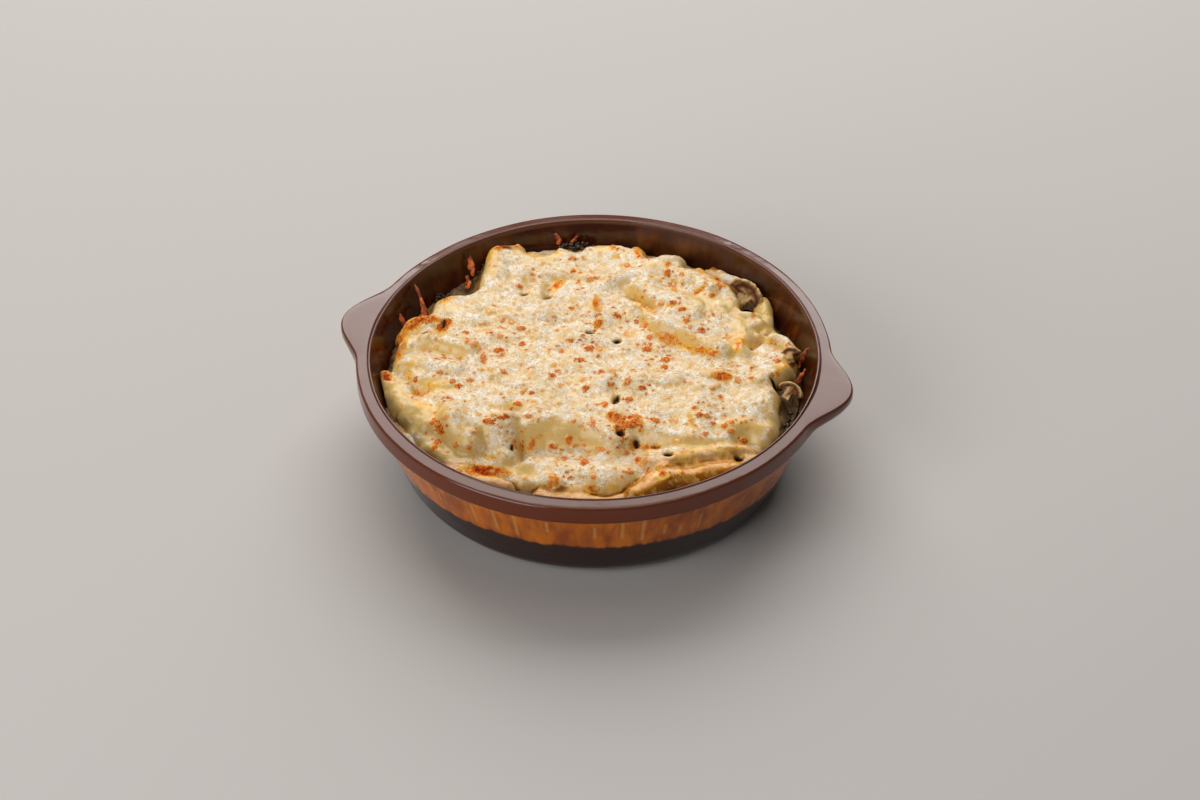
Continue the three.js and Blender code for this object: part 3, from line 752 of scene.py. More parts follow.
# Single baked marks as seen from the front: middle, half widths, turn in degrees and darkness.
marks = [
    (-38, -60.5, 3, 2.2, -10, 1), (-32, -55.5, 3, 1.6, 15, 0.9), (-37, -55, 1.6, 1.2, 0, 0.3),
    (-20, -52, 2.2, 1.6, 10, 0.4), (-28, -44, 2.2, 2.2, 0, 0.7), (-60, -37, 2, 1.5, 10, 1),
    (-64, -34, 1.5, 1.5, 0, 0.4), (-56, -31, 1.6, 1.4, 0, 0.4), (-72, -29, 1.6, 1.4, 0, 0.4),
    (-62, -48, 1.8, 0.9, -20, 1), (-41, -21, 1.6, 1.5, 0, 0.4), (-48, -21, 1.6, 1.2, 0, 0.2),
    (-66, -15, 1.7, 1.6, 0, 0.2), (-73, -17.5, 1.3, 1, 0, 0.9), (-54, -13, 1.6, 3.4, 15, 0.5),
    (-17, -18, 1.6, 1.6, 0, 0.8), (-23, -34, 1.4, 1.6, 0, 0.8), (-11, -25, 1.7, 1.7, 0, 0.3),
    (-43, -70, 1.6, 1.5, 0, 0.3), (-60, -62, 1.6, 2.4, 25, 0.3), (-49, -82, 1.3, 2.4, 0, 0.4),
    (-65, -68, 1.2, 3, 8, 0.5), (-60, -71, 1.4, 4.8, 28, 0.9), (-59, -82, 1.4, 2, 0, 0.5),
    (-13.5, -73, 1.3, 4.6, 3, 0.4), (-11, -66, 1.1, 1.9, 10, 0.2), (-3, -72, 2.4, 1.9, 0, 0.7),
    (-1, -18, 1.3, 2, -30, 0.3), (2, -24, 1.8, 1.8, 0, 0.8), (13, -18, 1.4, 1.3, 0, 0.6),
    (21, -14, 1.6, 3.2, -5, 0.4), (29, -17, 2, 2, 0, 0.9), (14, -34, 2, 2, 0, 0.6), (25, -28, 2, 2, 0, 0.7),
    (12, -50, 1.2, 4, 20, 0.4), (41, -41, 2.5, 1.8, -10, 0.6), (50, -39, 2.2, 1.3, 0, 0.3),
    (61, -31, 2, 2, 0, 0.9), (69, -36, 1.6, 1.6, 0, 0.5), (75, -36, 1.3, 2.2, 0, 0.5),
    (78, -33, 1.1, 1.7, 20, 0.5), (79, -40, 1.8, 1.8, 0, 0.5), (67, -45, 1.6, 1.6, 0, 0.4),
    (42, -62, 1.5, 2.1, 0, 0.8), (36, -64, 1.3, 1.7, 0, 0.5), (33, -69, 1.2, 2, 0, 0.5),
    (40, -72, 1.4, 2.1, 0, 0.7), (21, -68, 2.6, 1.6, 0, 0.4), (7, -69, 1.7, 1.5, 0, 0.5),
    (5, -80, 1.6, 1.6, 0, 0.6), (15, -80, 2, 1.9, 0, 0.6), (38, -82, 2, 1.6, 0, 0.4),
    (54, -79, 1.5, 2.8, 5, 0.8), (87, -46, 2, 2, 0, 0.8), (22, -90, 1, 1.7, 0, 0.5),
    (28, 54, 1.9, 1.8, 0, 0.9), (34, 49.5, 1.9, 1.9, 0, 1), (38, 41, 1.5, 2, -10, 0.6),
    (20, 44, 1.7, 1.7, 0, 0.3), (47, 35, 2.1, 2, 0, 0.8), (62, 33, 1.8, 1.8, 0, 0.3),
    (46, 65, 1.6, 1.8, 0, 0.6), (26.5, 65, 1.2, 2.2, 20, 0.4), (18, 85, 1.3, 2.1, 0, 0.6),
    (-2, 79, 1.7, 1.7, 0, 0.4), (12, 73, 1.1, 1.1, 0, 0.2), (24, 72.5, 1.1, 1.1, 0, 0.2),
    (3, 37, 2.6, 1.6, -35, 0.9), (-5, 28, 1.9, 3, 0, 0.7), (11, 23, 1.3, 2.1, 10, 0.3),
    (23, 23, 1.5, 2, 0, 0.5), (57, 18, 2, 2, 0, 0.5), (-4, 7, 2.7, 2.7, 0, 1), (1, 8, 1.4, 2.2, 10, 0.3),
    (35, 7, 2.5, 2, 20, 0.7), (36, 1.5, 2, 1.6, 0, 0.7), (-6, -3, 1.8, 1.5, 0, 0.8),
    (6, -10, 1.7, 1.6, 0, 0.7), (11, -8, 1.7, 1.5, 0, 0.2), (63, -9, 1.5, 1.5, 0, 0.3),
    (68, -15, 1.4, 1.4, 0, 0.6), (80, 3, 1.2, 1.1, 0, 0.8), (51, -8, 1.4, 1.2, 0, 0.2),
    (-31, 78, 2, 1.7, 0, 0.7), (-28, 68, 1.4, 1.6, 0, 0.6), (-68, 5, 1.7, 1.4, 0, 0.7),
    (-61, -3, 1.6, 2.1, 0, 0.4), (-48, -5, 2.6, 2, 25, 0.7), (-42, 15, 2.2, 1.8, 0, 0.5),
    (-38, 3, 1.6, 1.7, 0, 0.6), (-28, 28, 1.4, 1.3, 0, 0.3), (22, -43, 1.2, 3, 8, 0.9),
    (25.5, -44.5, 1.3, 3.4, -6, 1), (24, -49, 1.1, 2, 20, 0.7), (29, -41, 1.8, 1.2, 0, 0.8),
    (31.5, -43, 1.3, 2.4, -20, 1), (30, -47.5, 2.6, 1.5, 25, 1), (27, -51, 1.2, 3.2, -12, 0.9),
    (28.5, -56.5, 0.9, 3.6, 5, 0.9), (34.5, -46, 1.4, 1.1, 0, 0.8), (36, -50, 1.1, 1.2, 0, 0.6),
    (55, -53.5, 2.3, 2.2, 0, 0.15), (-21, 37, 1.1, 1.2, 0, 0.7), (-48, 19, 1.2, 2.1, 15, 0.3),
    (70, 55, 1.1, 2.2, 10, 0.4), (-13, 93, 1.3, 1.6, 0, 0.4),
]


def cheeseOutline(angle):
    edge = np.stack([np.cos(angle), np.sin(angle), np.zeros_like(angle)], axis=-1)
    reach = around(surface["cheeseReach"], angle) + 1.9 * noiseAt(edge * 100, 13, 3, 5.0)
    for direction, extra, halfWidth in cheeseLobes:
        away = np.angle(np.exp(1j * (angle - math.radians(direction))))
        reach += extra * np.exp(-((away / math.radians(halfWidth)) ** 4))
    return reach


def hiddenTubes():
    tubes = []
    for _ in range(cheese["hiddenTubes"]):
        radius = 88 * math.sqrt(random.random())
        angle = random.uniform(0, math.tau)
        x, y = radius * math.cos(angle), radius * math.sin(angle)
        turn = math.radians(random.gauss(-4, 32))
        half = random.uniform(11, 19)
        run = (half * math.cos(turn), half * math.sin(turn))
        radius, rise = random.uniform(5.2, 7.5), random.uniform(-1.4, 1.6)
        tube = ((x - run[0], y - run[1]), (x + run[0], y + run[1]), radius, rise)
        if y > cheese["quietFront"]:
            tubes.append(tube)
    return tubes


def nearTube(x, y, start, end):
    runX, runY = end[0] - start[0], end[1] - start[1]
    t = np.clip(((x - start[0]) * runX + (y - start[1]) * runY) / (runX**2 + runY**2), 0, 1)
    return t, np.hypot(x - start[0] - t * runX, y - start[1] - t * runY)


def overTube(across, radius):
    top = np.sqrt(np.maximum(radius**2 - across**2, 0))
    return np.where(across < 0.92 * radius, top, 0.39 * radius + (0.92 * radius - across) * 2.4)


def drape(x, y, tubes, rest):
    height = foodHeight(x, y) - rest
    for start, end, radius, rise in tubes:
        t, across = nearTube(x, y, start, end)
        low, high = (float(foodHeight(np.array(float(p[0])), np.array(float(p[1])))) for p in (start, end))
        axis = low + (high - low) * t + rise - radius
        height = smoothMax(height, axis + overTube(across, radius), cheese["blend"])
    for start, end, radius, _ in wallTubes:
        t, across = nearTube(x, y, start, end)
        axis = start[2] + (end[2] - start[2]) * t
        height = smoothMax(height, axis + overTube(across, radius), 0.7)
    return height


# How far a place is inside the sheet's outline, over the heap or over a tube at the wall.


def sheetInside(x, y):
    heapInside = cheeseOutline(np.arctan2(y, x)) - np.hypot(x, y)
    inside = heapInside
    for start, end, radius, _ in wallTubes:
        inside = np.maximum(inside, 0.96 * radius - nearTube(x, y, start, end)[1])
    return inside, heapInside


def sheetEdge(x, y):
    step = 0.3
    inside = sheetInside(x, y)[0]
    slopeX = (sheetInside(x + step, y)[0] - inside) / step
    slopeY = (sheetInside(x, y + step)[0] - inside) / step
    length = np.hypot(slopeX, slopeY).clip(0.2)
    return inside / length, -slopeX / length, -slopeY / length


def holeDepth(x, y):
    depth = np.zeros_like(x)
    for holeX, holeY, halfX, halfY, deep in holes:
        away = np.hypot((x - holeX) / halfX, (y - holeY) / halfY)
        depth = np.maximum(depth, deep * np.exp(-(away**3)))
    return depth


def seenFromFront(points):
    below = seenLevel - points[:, 2]
    return points[:, 0] + seenShift[0] * below, points[:, 1] + seenShift[1] * below


def ovalDistance(x, y, middle, halves, turn):
    c, s = math.cos(math.radians(turn)), math.sin(math.radians(turn))
    dx, dy = x - middle[0], y - middle[1]
    return np.hypot((dx * c + dy * s) / halves[0], (dy * c - dx * s) / halves[1])


def seenLevels(places, points, frontFacing):
    seenX, seenY = seenFromFront(points)
    level = np.zeros(len(points))
    for x, y, halfX, halfY, turn, strength in places:
        away = ovalDistance(seenX, seenY, (x, y), (halfX, halfY), turn)
        level = np.maximum(level, strength * np.exp(-(away**3)))
    return level * frontFacing


def bareLevel(points, height):
    level = np.zeros(len(points))
    for start, end, radius, bare in wallTubes:
        t, across = nearTube(points[:, 0], points[:, 1], start, end)
        top = start[2] + (end[2] - start[2]) * t + overTube(across, radius)
        level = np.maximum(level, bare * smoothStep(top - height, -2.5, -0.3) * (across < 1.6 * radius))
    return level


def spotLayers(points, normals, frontFacing):
    field = np.full(len(points), -4.0)
    tone = np.zeros(len(points))
    rise = np.zeros(len(points))

    def addMark(inside, size, dark):
        deeper = inside > field
        field[deeper] = inside[deeper]
        tone[deeper] = dark
        np.maximum(rise, 0.42 * size * np.sqrt(np.clip(inside / size + 0.15, 0, 1)), out=rise)

    seenX, seenY = seenFromFront(points)
    for x, y, halfX, halfY, turn, dark in marks:
        size = min(halfX, halfY)
        away = ovalDistance(seenX, seenY, (x, y), (halfX, halfY), turn)
        addMark(np.where(frontFacing, (1 - away) * size, -4.0), size, dark)
    clusters = noiseAt(points, 24, 2, 9.0)
    count = 0
    while count < cheese["spots"]:
        index = random.randrange(len(points))
        middle = points[index]
        size = min(2.2, max(0.5, random.lognormvariate(-0.1, 0.36)))
        if middle[2] < 44 or normals[index][2] < -0.1 or field[index] > -1.2:
            continue
        if random.random() > 0.6 + 0.8 * clusters[index]:
            continue
        count += 1
        turn = random.uniform(0, 180)
        away = ovalDistance(points[:, 0], points[:, 1], middle, (size, size * random.uniform(0.65, 1)), turn)
        away = np.hypot(away, 0.45 * (points[:, 2] - middle[2]) / size)
        addMark((1 - away) * size, size, random.uniform(0.0, 0.75))
    return field, tone, rise


def buildCheese():
    bm = bmesh.new()
    count = round(2 * cheese["gridHalf"] / cheese["meshStep"])
    bmesh.ops.create_grid(bm, x_segments=count, y_segments=count, size=cheese["gridHalf"] * mm)
    points = readPoints(bm.verts)
    outside = sheetInside(points[:, 0], points[:, 1])[0] < 0
    bmesh.ops.delete(bm, geom=[vert for vert, out in zip(bm.verts, outside) if out], context="VERTS")
    loose = [vert for vert in bm.verts if len(vert.link_faces) < 2]
    bmesh.ops.delete(bm, geom=loose, context="VERTS")
    rim = [vert for vert in bm.verts if vert.is_boundary]
    points = readPoints(rim)
    away, outX, outY = sheetEdge(points[:, 0], points[:, 1])
    points[:, 0] += np.clip(away, -1, 1) * outX
    points[:, 1] += np.clip(away, -1, 1) * outY
    writePoints(rim, points)
    addSkirt(bm)
    bmesh.ops.recalc_face_normals(bm, faces=bm.faces)
    mesh = meshOf(bm, "cheeseBlanket")
    points = readMesh(mesh) / mm
    row = np.empty(len(points))
    mesh.attributes["skirtRow"].data.foreach_get("value", row)
    mesh.attributes.remove(mesh.attributes["skirtRow"])
    x, y = points[:, 0].copy(), points[:, 1].copy()
    inside, heapInside = sheetInside(x, y)
    rest = 9 * smoothStep(-heapInside, 0, 3)
    # The warp fades at the rim, so the sheet keeps its outline.
    keep = cheese["warp"] * smoothStep(inside, 0, 8)
    warpedX = x + keep * noiseAt(points, 21, 1, 1.0)
    warpedY = y + keep * noiseAt(points, 21, 1, 2.0)
    height = drape(warpedX, warpedY, coveredTubes + hiddenTubes(), rest)
    height += cheese["lumps"] * noiseAt(points, 17, 2, 4.0)
    for middleX, middleY, halfX, halfY, turn, amount in swells:
        away = ovalDistance(warpedX, warpedY, (middleX, middleY), (halfX, halfY), turn)
        height += cheese["swell"] * amount * np.exp(-(away**2))
    rounding = np.clip(heapInside / cheese["edgeRounding"], 0, 1)
    height -= (1 - np.sqrt(1 - (1 - rounding) ** 2)) * cheese["edgeDrop"]
    points[:, 2] = height - holeDepth(x, y)
    # The skirt hangs from the rim of the sheet and bulges a little.
    outX, outY = sheetEdge(x, y)[1:]
    uneven = 1 + 0.35 * noiseAt(np.stack([x, y, 3 * row], axis=1), 6, 2, 8.0)
    path = np.vstack([(0, 0), np.cumsum(cheese["skirt"], axis=0)])
    shift, drop = (np.interp(row, range(len(path)), column) for column in path.T)
    points[:, 0] += shift * uneven * outX
    points[:, 1] += shift * uneven * outY
    points[:, 2] -= drop * uneven
    limit = (cavityRadius(points[:, 2]) - 0.4) / np.hypot(points[:, 0], points[:, 1]).clip(1)
    points[:, :2] *= np.minimum(limit, 1)[:, None]
    writeMesh(mesh, points)
    soften(mesh, cheese["softening"])
    points = readMesh(mesh) / mm
    normals = readMesh(mesh, "vertex_normals", "vector")
    frontFacing = normals @ towardsCamera > 0.05
    steep = smoothStep(1 - normals[:, 2], 0.05, 0.34)
    toast = seenLevels(patches, points, frontFacing)
    soften(mesh, 14)
    valley = ((readMesh(mesh) / mm - points) * normals).sum(axis=1)
    field, tone, rise = spotLayers(points, normals, frontFacing)
    bare = bareLevel(points, points[:, 2])
    curl = points + 1.4 * np.stack([noiseAt(points, 4.2, 2, shift) for shift in (12.0, 13.0, 14.0)], axis=1)
    relief = cheese["dents"] * noiseAt(points, 6.5, 2, 6.0)
    relief += cheese["wrinkles"] * (0.5 - 2.2 * np.abs(noiseAt(curl, 3.6, 2, 15.0)))
    relief *= 1 - 0.65 * steep
    relief += cheese["crust"] * smoothStep(toast, 0.3, 0.9) * noiseAt(points, 2.8, 3, 17.0)
    points += normals * (relief + rise)[:, None]
    writeMesh(mesh, points)
    thin = steep + 1.1 * np.clip(valley, -0.5, 0.7) - seenLevels(grainyPlaces, points, frontFacing)
    thin = np.maximum(thin, 1.3 * seenLevels(smoothPlaces, points, frontFacing))
    thin += 0.5 * smoothStep(-inside, -3, 1) + 0.4 * smoothStep(-heapInside, -1, 2)
    paint(mesh, "spotField", field)
    paint(mesh, "spotTone", tone)
    paint(mesh, "toast", toast)
    paint(mesh, "thin", np.clip(thin, 0, 1))
    paint(mesh, "steep", steep)
    paint(mesh, "bare", bare)
    # Concave places between the tubes, used below for painted shade in the creases.
    paint(mesh, "valley", smoothStep(valley, 0.1, 0.8))
    paint(mesh, "hollow", smoothStep(holeDepth(x, y), 0.1, 1.5))
    # How far the sheet hangs below the food's surface, for painted shade.
    paint(mesh, "depth", np.clip((foodHeight(x, y) - 6 - points[:, 2]) / 7, 0, 1))
    keepPiece(mesh, meltedCheese(), ["cheese_blanket"])


def soften(mesh, rounds):
    bm = bmesh.new()
    bm.from_mesh(mesh)
    smoothVerts(bm, rounds)
    bm.to_mesh(mesh)
    bm.free()


def addSkirt(bm):
    layer = bm.verts.layers.float.new("skirtRow")
    edges = [edge for edge in bm.edges if edge.is_boundary]
    for row in range(1, len(cheese["skirt"]) + 1):
        made = bmesh.ops.extrude_edge_only(bm, edges=edges)["geom"]
        verts = [item for item in made if isinstance(item, bmesh.types.BMVert)]
        edges = [item for item in made if isinstance(item, bmesh.types.BMEdge) and item.is_boundary]
        bmesh.ops.translate(bm, verts=verts, vec=(0, 0, -mm))
        for vert in verts:
            vert[layer] = row
    bmesh.ops.holes_fill(bm, edges=edges, sides=0)


cream = {
    "sheet": (220, 188, 126),
    # Pale threads of the grain: painted glints on wet cheese.
    "threadsAndGlints": (255, 252, 242),
    # Painted shade in the gaps between curds.
    "gapShade": (176, 120, 42),
    "rings": (206, 128, 50),
    "honey": (224, 176, 76),
    "yellow": (212, 178, 104),
    "olive": (194, 162, 88),
    "pasta": (184, 118, 18),
    # Painted shade on the steep sides of bare tubes.
    "pastaSideShade": (146, 84, 10),
    # Painted shade in creases.
    "creaseShade": (150, 96, 22),
    "amber": (218, 134, 14),
    "toast": (196, 66, 0),
    "burnt": (120, 40, 6),
    # Painted shade inside the holes.
    "holeShade": (44, 26, 12),
    # Painted shade where the sheet hangs down into the gap by the wall.
    "skirt": (74, 40, 14),
}


def meltedCheese():
    material, tree, shader = newMaterial("meltedCheese")
    place = inMillimetres(tree)
    grain = useGroup(tree, grainGroup, {"Place": place, "Size": 1.0})
    uneven = (noiseOf(place, 8.0, 4.0, 1.0, 0.6) - 0.5) * 1.4
    steep, hollow = attribute(tree, "steep"), attribute(tree, "hollow")
    # The sheet is grainy and pale where it lies flat, smooth and yellow where it is thin or steep.
    thin = steps(attribute(tree, "thin") + uneven, 0.1, 1.0)
    tint = mix(thin, cream["sheet"], mix(steep, cream["olive"], cream["yellow"]))
    shown = steps(thin, 0.1, 0.9, 0.85, 0.1)
    # Painted shade in the gaps between curds, painted glints on the pale threads, and the toasted bubble
    # outlines.
    for mask, name in (("ShadedGaps", "gapShade"), ("Light", "threadsAndGlints"), ("Rings", "rings")):
        tint = mix(grain[mask] * shown, tint, cream[name])
    bare = steps(attribute(tree, "bare") + uneven * 0.5, 0.2, 0.9)
    # Bare pasta shows through, and its steep sides get painted shade.
    tint = mix(bare, tint, mix(steep, cream["pasta"], cream["pastaSideShade"]))
    # Painted shade: creases next to the bare tubes darken to deep amber.
    tint = mix(attribute(tree, "valley") * steps(bare, 0.0, 1.0, 0.35, 0.8), tint, cream["creaseShade"])
    # Toasted patches go from honey to amber, toast and burnt, raggedly.
    coarse = noiseOf(place, 3.0, 3.0, 0.8, 0.6) - 0.5
    ragged = noiseOf(place, 1.5, 3.0, 1.2, 0.6) - 0.5
    toast = attribute(tree, "toast")
    warmth = toast * 1.2 + coarse * 2.2
    toasted = toast * 0.95 + ragged * 4.0
    golden = steps(warmth, 0.55, 1.15)
    tint = mix(steps(warmth, 0.15, 0.6), tint, cream["honey"])
    tint = mix(golden, tint, cream["amber"])
    tint = mix(steps(toasted, 0.7, 1.0) * 0.95, tint, cream["toast"])
    tint = mix(steps(toasted, 1.25, 1.6, 0.0, 0.9), tint, cream["burnt"])
    specks = put(tree, "TexVoronoi", {"Vector": place, "Scale": 0.3, "Randomness": 1.0})
    sparse = steps(outOf(put(tree, "SeparateColor", {0: outOf(specks, "Color")})), 0.35, 0.4)
    speckField = (0.2 - outOf(specks, "Distance")) * 3.3 + (sparse - 1.0) * 3.0
    field = maths("MAXIMUM", attribute(tree, "spotField"), speckField)
    marked = useGroup(tree, marksGroup, {
        "Place": place, "Color": tint, "Field": field, "Tone": attribute(tree, "spotTone"),
    })
    # Painted shade: the holes in the sheet are a near-black brown.
    tint = mix(hollow, marked["Color"], cream["holeShade"])
    # Painted shade: a darker brown the lower the sheet hangs below the food's surface.
    tint = mix(attribute(tree, "depth") * 0.85, tint, cream["skirt"])
    # A thin film of fat shines where the sheet is smooth, and not on baked parts.
    dry = maths("MAXIMUM", marked["Mask"], maths("MAXIMUM", golden, hollow))
    smooth = maths("MAXIMUM", thin, bare)
    film = steps(smooth, 0.0, 1.0, 0.2, 0.4) * (1.0 - dry)
    normal = bumpOf(grain["Height"], steps(smooth, 0.0, 1.0, 0.7, 0.12), 1.0)
    feed(shader, baseColor=tint, roughness=steps(dry, 0.0, 1.0, 0.25, 0.85), normal=normal, ior=1.5,
         gloss=0.15, coat=film, coatRoughness=0.13)
    return material


print("cheese")
buildCheese()


# Packed pasta under the cheese, seen only round the edge and in the holes.
heap = {
    "reach": 108.0,
    "rings": 60,
    "segments": 420,
    "thickness": 4,
    "edgeDrop": 8,
    "edgeWidth": 8,
    "relief": 1.5,
    "shadow": (46, 26, 12),
    "sauce": (132, 92, 42),
    "threadsAndGlints": (176, 140, 80),
}


def buildHeapCore():
    bottom = dish["floor"] + 6
    outer = heap["reach"]
    profile = [(0, bottom), (92, bottom), (outer, 30)]
    profile += [(outer * (1 - k / heap["rings"]), 45.0) for k in range(heap["rings"] + 1)]
    angles = np.linspace(0, 360, heap["segments"], endpoint=False)
    mesh = turnProfile("pastaHeap", profile, angles)
    points = readMesh(mesh) / mm
    top = points[:, 2] > 40
    x, y = points[:, 0], points[:, 1]
    radius = np.maximum(np.hypot(x, y), 0.01)
    angle = np.arctan2(y, x)
    edge = around(surface["cheeseReach"], angle)
    level = foodHeight(x * (radius + 4) / radius, y * (radius + 4) / radius) - heap["thickness"]
    level -= heap["edgeDrop"] * smoothStep(radius, edge - 2, edge + heap["edgeWidth"])
    level += heap["relief"] * noiseAt(points, 7, 3, 11.0) * (radius > 50)
    points[:, 2] = np.where(top, level, points[:, 2])
    limit = cavityRadius(points[:, 2]) - 0.4
    pull = np.minimum(1, limit / radius)
    points[:, 0] *= pull
    points[:, 1] *= pull
    writeMesh(mesh, points)
    keepPiece(mesh, packedPasta(), ["pasta_heap"])


def packedPasta():
    material, tree, shader = newMaterial("packedPasta")
    place = inMillimetres(tree)
    grain = useGroup(tree, grainGroup, {"Place": place, "Size": 1.1})
    lumps = noiseOf(place, 6.0, 3.0, 0.8)
    tint = mix(steps(lumps, 0.35, 0.65), heap["shadow"], heap["sauce"])
    # Pale threads of cheese in the sauce, partly painted glints.
    tint = mix(grain["Light"] * 0.3, tint, heap["threadsAndGlints"])
    feed(shader, baseColor=tint, roughness=0.3, normal=bumpOf(grain["Height"], 0.7, 0.8), ior=1.45)
    return material


print("pasta heap")
buildHeapCore()


# Pasta tubes that show round the cheese.
penne = {
    "radius": 4.9,
    "wall": 1.5,
    "slant": 0.35,
    "sides": 28,
    "rows": 22,
    "bend": 1.2,
    "deep": (182, 112, 22),
    "light": (208, 146, 44),
}

# The ends of each tube's axis, how much cheese coats it and how browned its ends are.
shownTubes = [
    ((-27, 100, 44), (-58, 86, 45), 0.3, 0.9),
    ((60, 84, 47), (40, 96, 46), 0.4, 0.4),
    ((-72, -74, 40), (-92, -46, 41), 0.4, 0.4),
    ((66, -78, 40), (92, -48, 41), 0.3, 0.2),
    ((4, -103, 37), (44, -92, 38), 0.3, 0.4),
    ((-58, -86, 36), (-14, -101, 37), 0.3, 0.4),
]


def penneTube(start, end, coating, browning, shift):
    part = bmesh.new()
    start, end = Vector(start), Vector(end)
    length = (end - start).length
    radius = penne["radius"]
    bmesh.ops.create_cone(
        part, cap_ends=False, segments=penne["sides"], radius1=radius, radius2=radius, depth=length
    )
    alongTube = [edge for edge in part.edges if abs(edge.verts[0].co.z - edge.verts[1].co.z) > 1]
    bmesh.ops.subdivide_edges(part, edges=alongTube, cuts=penne["rows"], use_grid_fill=True)
    bmesh.ops.recalc_face_normals(part, faces=part.faces)
    bmesh.ops.solidify(part, geom=part.faces[:], thickness=penne["wall"])
    points = np.array([vert.co for vert in part.verts])
    share = points[:, 2] / length
    points[:, 2] += penne["slant"] * points[:, 0]
    points[:, 1] += penne["bend"] * (1 - (2 * share) ** 2) * math.sin(shift * 3)
    placed = laidAlong(points, start, end)
    placed[:, 2] += 0.6 * noiseAt(placed, 9, 2, shift)
    placed[:, 1] += 0.6 * noiseAt(placed, 9, 2, shift + 5)
    upward = (placed[:, 2] - (start.z + (end.z - start.z) * (share + 0.5))) / radius
    cover = coating + 0.35 * upward + 0.45 * noiseAt(placed, 6, 2, 3.0)
    placed[:, 2] += 1.1 * smoothStep(cover, 0.4, 0.9) * (upward > 0)
    writePoints(part.verts, placed)
    writeLayer(part, "coating", cover)
    writeLayer(part, "toast", browning * smoothStep(np.abs(share), 0.36, 0.5))
    return part


def buildPenne():
    bm = bmesh.new()
    for number, (start, end, coating, browning) in enumerate(shownTubes):
        addTo(bm, penneTube(start, end, coating, browning, 1.7 * number))
    keepPiece(meshOf(bm, "penneTubes"), pastaSkin(), ["pasta_heap"])


def pastaSkin():
    material, tree, shader = newMaterial("pastaSkin")
    place = inMillimetres(tree)
    grain = useGroup(tree, grainGroup, {"Place": place, "Size": 1.0})
    slow = noiseOf(place, 5.0, 3.0, 0.5)
    tint = mix(steps(slow, 0.3, 0.7), penne["deep"], penne["light"])
    coat = steps(attribute(tree, "coating") + slow * 0.5, 0.75, 1.15)
    # Cheese on the tubes, with painted glints on its pale threads.
    tint = mix(coat, tint, mix(grain["Light"], cream["sheet"], cream["threadsAndGlints"]))
    field = steps(attribute(tree, "toast") + slow * 0.9, 0.6, 1.5, -1.8, 1.6)
    marked = useGroup(tree, marksGroup, {"Place": place, "Color": tint, "Field": field, "Tone": 0.6})
    normal = bumpOf(grain["Height"], steps(coat, 0.0, 1.0, 0.25, 0.9), 0.8)
    feed(shader, baseColor=marked["Color"], roughness=0.28, normal=normal, ior=1.5,
         soft=0.3, softReach=(1.0, 0.6, 0.25), softScale=2 * mm)
    return material


print("pasta tubes")
buildPenne()


# Mushrooms: slices through cap and stem. Heights, widths and lengths are shares of the cap's width.
mushroom = {
    "capHeight": 0.36,
    "stemWidth": 0.32,
    "stemLength": 0.34,
    "cells": 54,
    "flesh": (206, 170, 118),
    "fleshDeep": (124, 78, 42),
    "gills": (88, 44, 16),
    "skin": (208, 180, 120),
    "sauce": (206, 160, 96),
}

# Middle, width, thickness and turn about each axis in degrees.
mushrooms = [
    ("mushroomSlice", "mushroom_slice", (61.5, 74.5, 52.8), 21.5, 6, (50, 8, -34)),
    ("mushroomPiece1", "mushroom_piece_1", (94, 29, 54.5), 12, 6, (44, 0, 30)),
    ("mushroomPiece2", "mushroom_piece_2", (99.5, 4, 52.5), 13, 6, (50, 0, -20)),
]


def buildMushroom(name, node, middle, width, thickness, turn, material):
    bm = bmesh.new()
    half = width / 2
    cells = mushroom["cells"]
    bmesh.ops.create_grid(bm, x_segments=cells, y_segments=cells, size=half * 1.02 * mm)
    points = readPoints(bm.verts)
    u, v = points[:, 0], points[:, 1]
    capHeight = width * mushroom["capHeight"]
    inCap = (v >= 0) & ((u / half) ** 2 + (v / capHeight) ** 2 < 1)
    tuck = (v < 0) & (v > -0.06 * width) & (np.abs(u) < half * 0.93)
    stemHalf = width * mushroom["stemWidth"] / 2
    inStem = (v <= 0) & (v > -width * mushroom["stemLength"]) & (np.abs(u) < stemHalf)
    gone = [vert for vert, kept in zip(bm.verts, inCap | inStem | tuck) if not kept]
    bmesh.ops.delete(bm, geom=gone, context="VERTS")
    made = bmesh.ops.extrude_face_region(bm, geom=bm.faces[:])["geom"]
    lifted = [item for item in made if isinstance(item, bmesh.types.BMVert)]
    bmesh.ops.translate(bm, verts=lifted, vec=(0, 0, thickness * mm))
    sides = [edge for edge in bm.edges if abs(edge.verts[0].co.z - edge.verts[1].co.z) > mm]
    bmesh.ops.subdivide_edges(bm, edges=sides, cuts=8, use_grid_fill=True)
    bmesh.ops.recalc_face_normals(bm, faces=bm.faces)
    smoothVerts(bm, 5)
    points = readPoints(bm.verts)
    u, v = points[:, 0], points[:, 1]
    across = np.hypot(u / half, v / capHeight)
    gills = np.exp(-(((across - 0.62) / 0.2) ** 2)) * (v > -1)
    gills = np.maximum(gills, np.exp(-((v / (0.07 * width)) ** 2)) * (np.abs(u) > width * 0.14))
    skin = smoothStep(across, 0.82, 0.97) * (v > -1)
    points[:, 2] -= thickness / 2
    points *= 1 + 0.07 * noiseAt(points, 5, 2, 1.0)[:, None]
    points[:, 2] += 1.1 * noiseAt(points, 6, 3, 2.0)
    turned = Matrix.Identity(4)
    for degrees, axis in zip(turn, "XYZ"):
        turned = turned @ Matrix.Rotation(math.radians(degrees), 4, axis)
    placed = points @ np.array(turned.to_3x3()).T + np.array(middle)
    writePoints(bm.verts, placed)
    writeLayer(bm, "gills", gills)
    writeLayer(bm, "skin", skin)
    keepPiece(meshOf(bm, name), material, [node])


